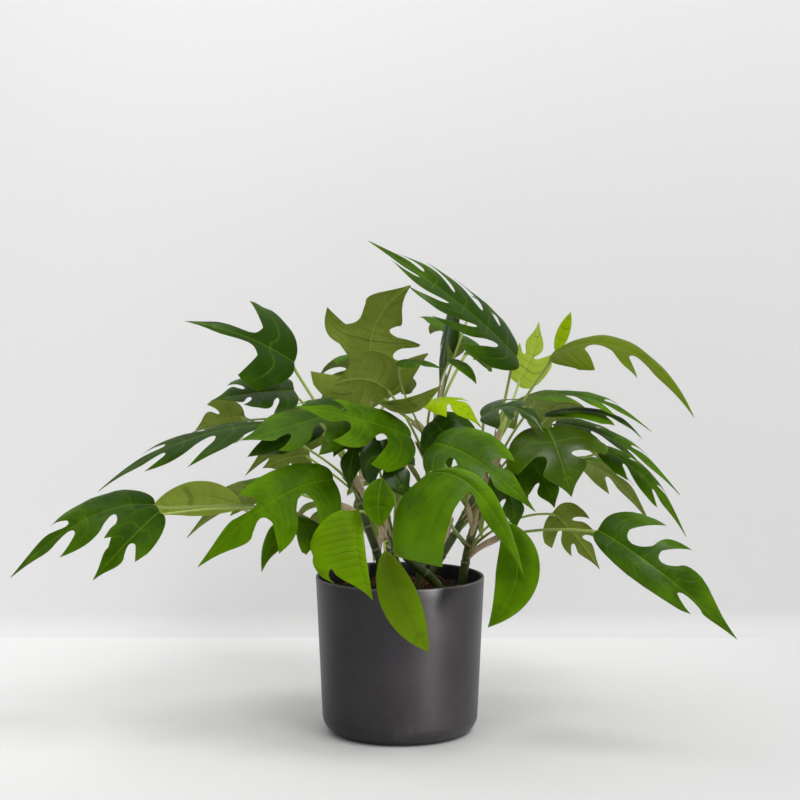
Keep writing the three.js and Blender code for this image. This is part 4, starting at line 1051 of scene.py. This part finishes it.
def leafVeins(s):
    # Side veins run along lines of constant lobe share, so q counts veins across a lobe; finer ones lie
    # between. r is the share of the way out and u the share along the leaf.
    q, r, u = s.parts(s.attribute("vein", "Vector"))
    bent = q + s.noise(s.place(), 0.02, 2).ramp(0.3, 0.7, -0.008, 0.008)
    main = 1 - abs((bent - 0.06).fract() - 0.5).ramp(0.0, 0.05)
    between = abs((bent * 4 + 0.25).fract() - 0.5)
    fine = 1 - abs((bent * 13).fract() - 0.5).ramp(0.0, 0.45)
    fade = 1 - abs(r).ramp(0.55, 1.0)
    rib = (1 - s.attribute("toRib").ramp(0.2, 0.9)) * (1 - u * 0.5)
    return {"main": main * fade, "minor": (1 - between.ramp(0.0, 0.2)) * fade, "fine": fine, "rib": rib,
            "quilt": between * fade, "r": r, "u": u}


def leafGrain(s):
    spot = s.place()
    return s.noise(spot, 0.035, 4, 0.6), s.noise(spot, 0.0016, 3, 0.7), s.noise(spot, 0.0005, 2, 0.7)


def upperSkin(s, c):
    v = leafVeins(s)
    fresh, lime, gloss, olive, rust, toEdge = (
        s.attribute(key) for key in ("fresh", "lime", "gloss", "olive", "rust", "toEdge"))
    cloud, speck, cell = leafGrain(s)
    share = fresh + (cloud - 0.5) * 0.9 + (speck - 0.5) * 0.2 + v["u"].ramp(0.0, 1.0, -0.16, 0.1)
    share = share + abs(v["r"]).ramp(0.3, 1.0, -0.08, 0.12)
    base = s.mix(share.ramp(0.0, 1.1), c["deep"], c["fresh"])
    base = s.mix(olive, base, c["olive"])
    base = s.mix(lime, base, c["lime"])
    base = s.mix(v["main"] * 0.20, base, c["vein"])
    base = s.mix(v["minor"] * 0.16 + v["fine"] * 0.06, base, c["gap"])
    base = s.mix(speck.ramp(0.6, 0.75) * 0.10, base, c["edge"])
    base = s.mix(v["rib"] * (0.45 - rust * 0.2), base, c["vein"])
    base = s.mix(v["rib"] * rust * 0.8, base, c["rust"])
    base = s.mix((1 - toEdge.ramp(0.1, 0.6)) * 0.4, base, c["edge"])
    base = s.mix((1 - toEdge.ramp(0.1, 0.9)) * rust, base, c["rust"])
    height = cell * 0.12 + v["fine"] * 0.08 - v["main"] * 0.6 - v["minor"] * 0.3
    height = height + v["quilt"] * 0.9 + cloud * 3
    return s.principled(base, 0.36 + cloud * 0.14 + speck * 0.06, 0.06, (height, 0.0008, 0.6),
                        Coat_Weight=gloss * (0.35 + cloud * 0.5), Coat_Roughness=0.24)


def underSkin(s, c):
    v = leafVeins(s)
    cloud, speck, cell = leafGrain(s)
    share = (cloud - 0.5) * 0.9 + (speck - 0.5) * 0.3 + 0.35 + s.attribute("fresh") * 0.4
    base = s.mix(share.ramp(0.1, 0.9), c["underDeep"], c["underPale"])
    base = s.mix(s.attribute("lime"), base, c["underLime"])
    base = s.mix(v["main"] * 0.4, base, c["underVein"])
    base = s.mix(v["minor"] * 0.2 + v["fine"] * 0.1, base, c["underVein"])
    base = s.mix(v["rib"] * 0.7, base, c["underRib"])
    height = cell * 0.10 + v["main"] * 0.7 + v["minor"] * 0.4 + v["fine"] * 0.12
    return s.principled(base, 0.5 + cloud * 0.12, 0.2, (height, 0.0007, 0.45))


for name, skinOf in (("leaf_upper", upperSkin), ("leaf_under", underSkin)):
    s = Shader(name)
    through = s.node("ShaderNodeBsdfTranslucent", {}, Color=colour(leafColours["glow"]))
    s.done(s.node("ShaderNodeMixShader", {}, leafColours["through"], skinOf(s, leafColours), through))
faces = sum(makeLeaf(name, leaf) for name, leaf in leaves.items())
print("leaves done:", len(leaves), "with", faces, "faces")
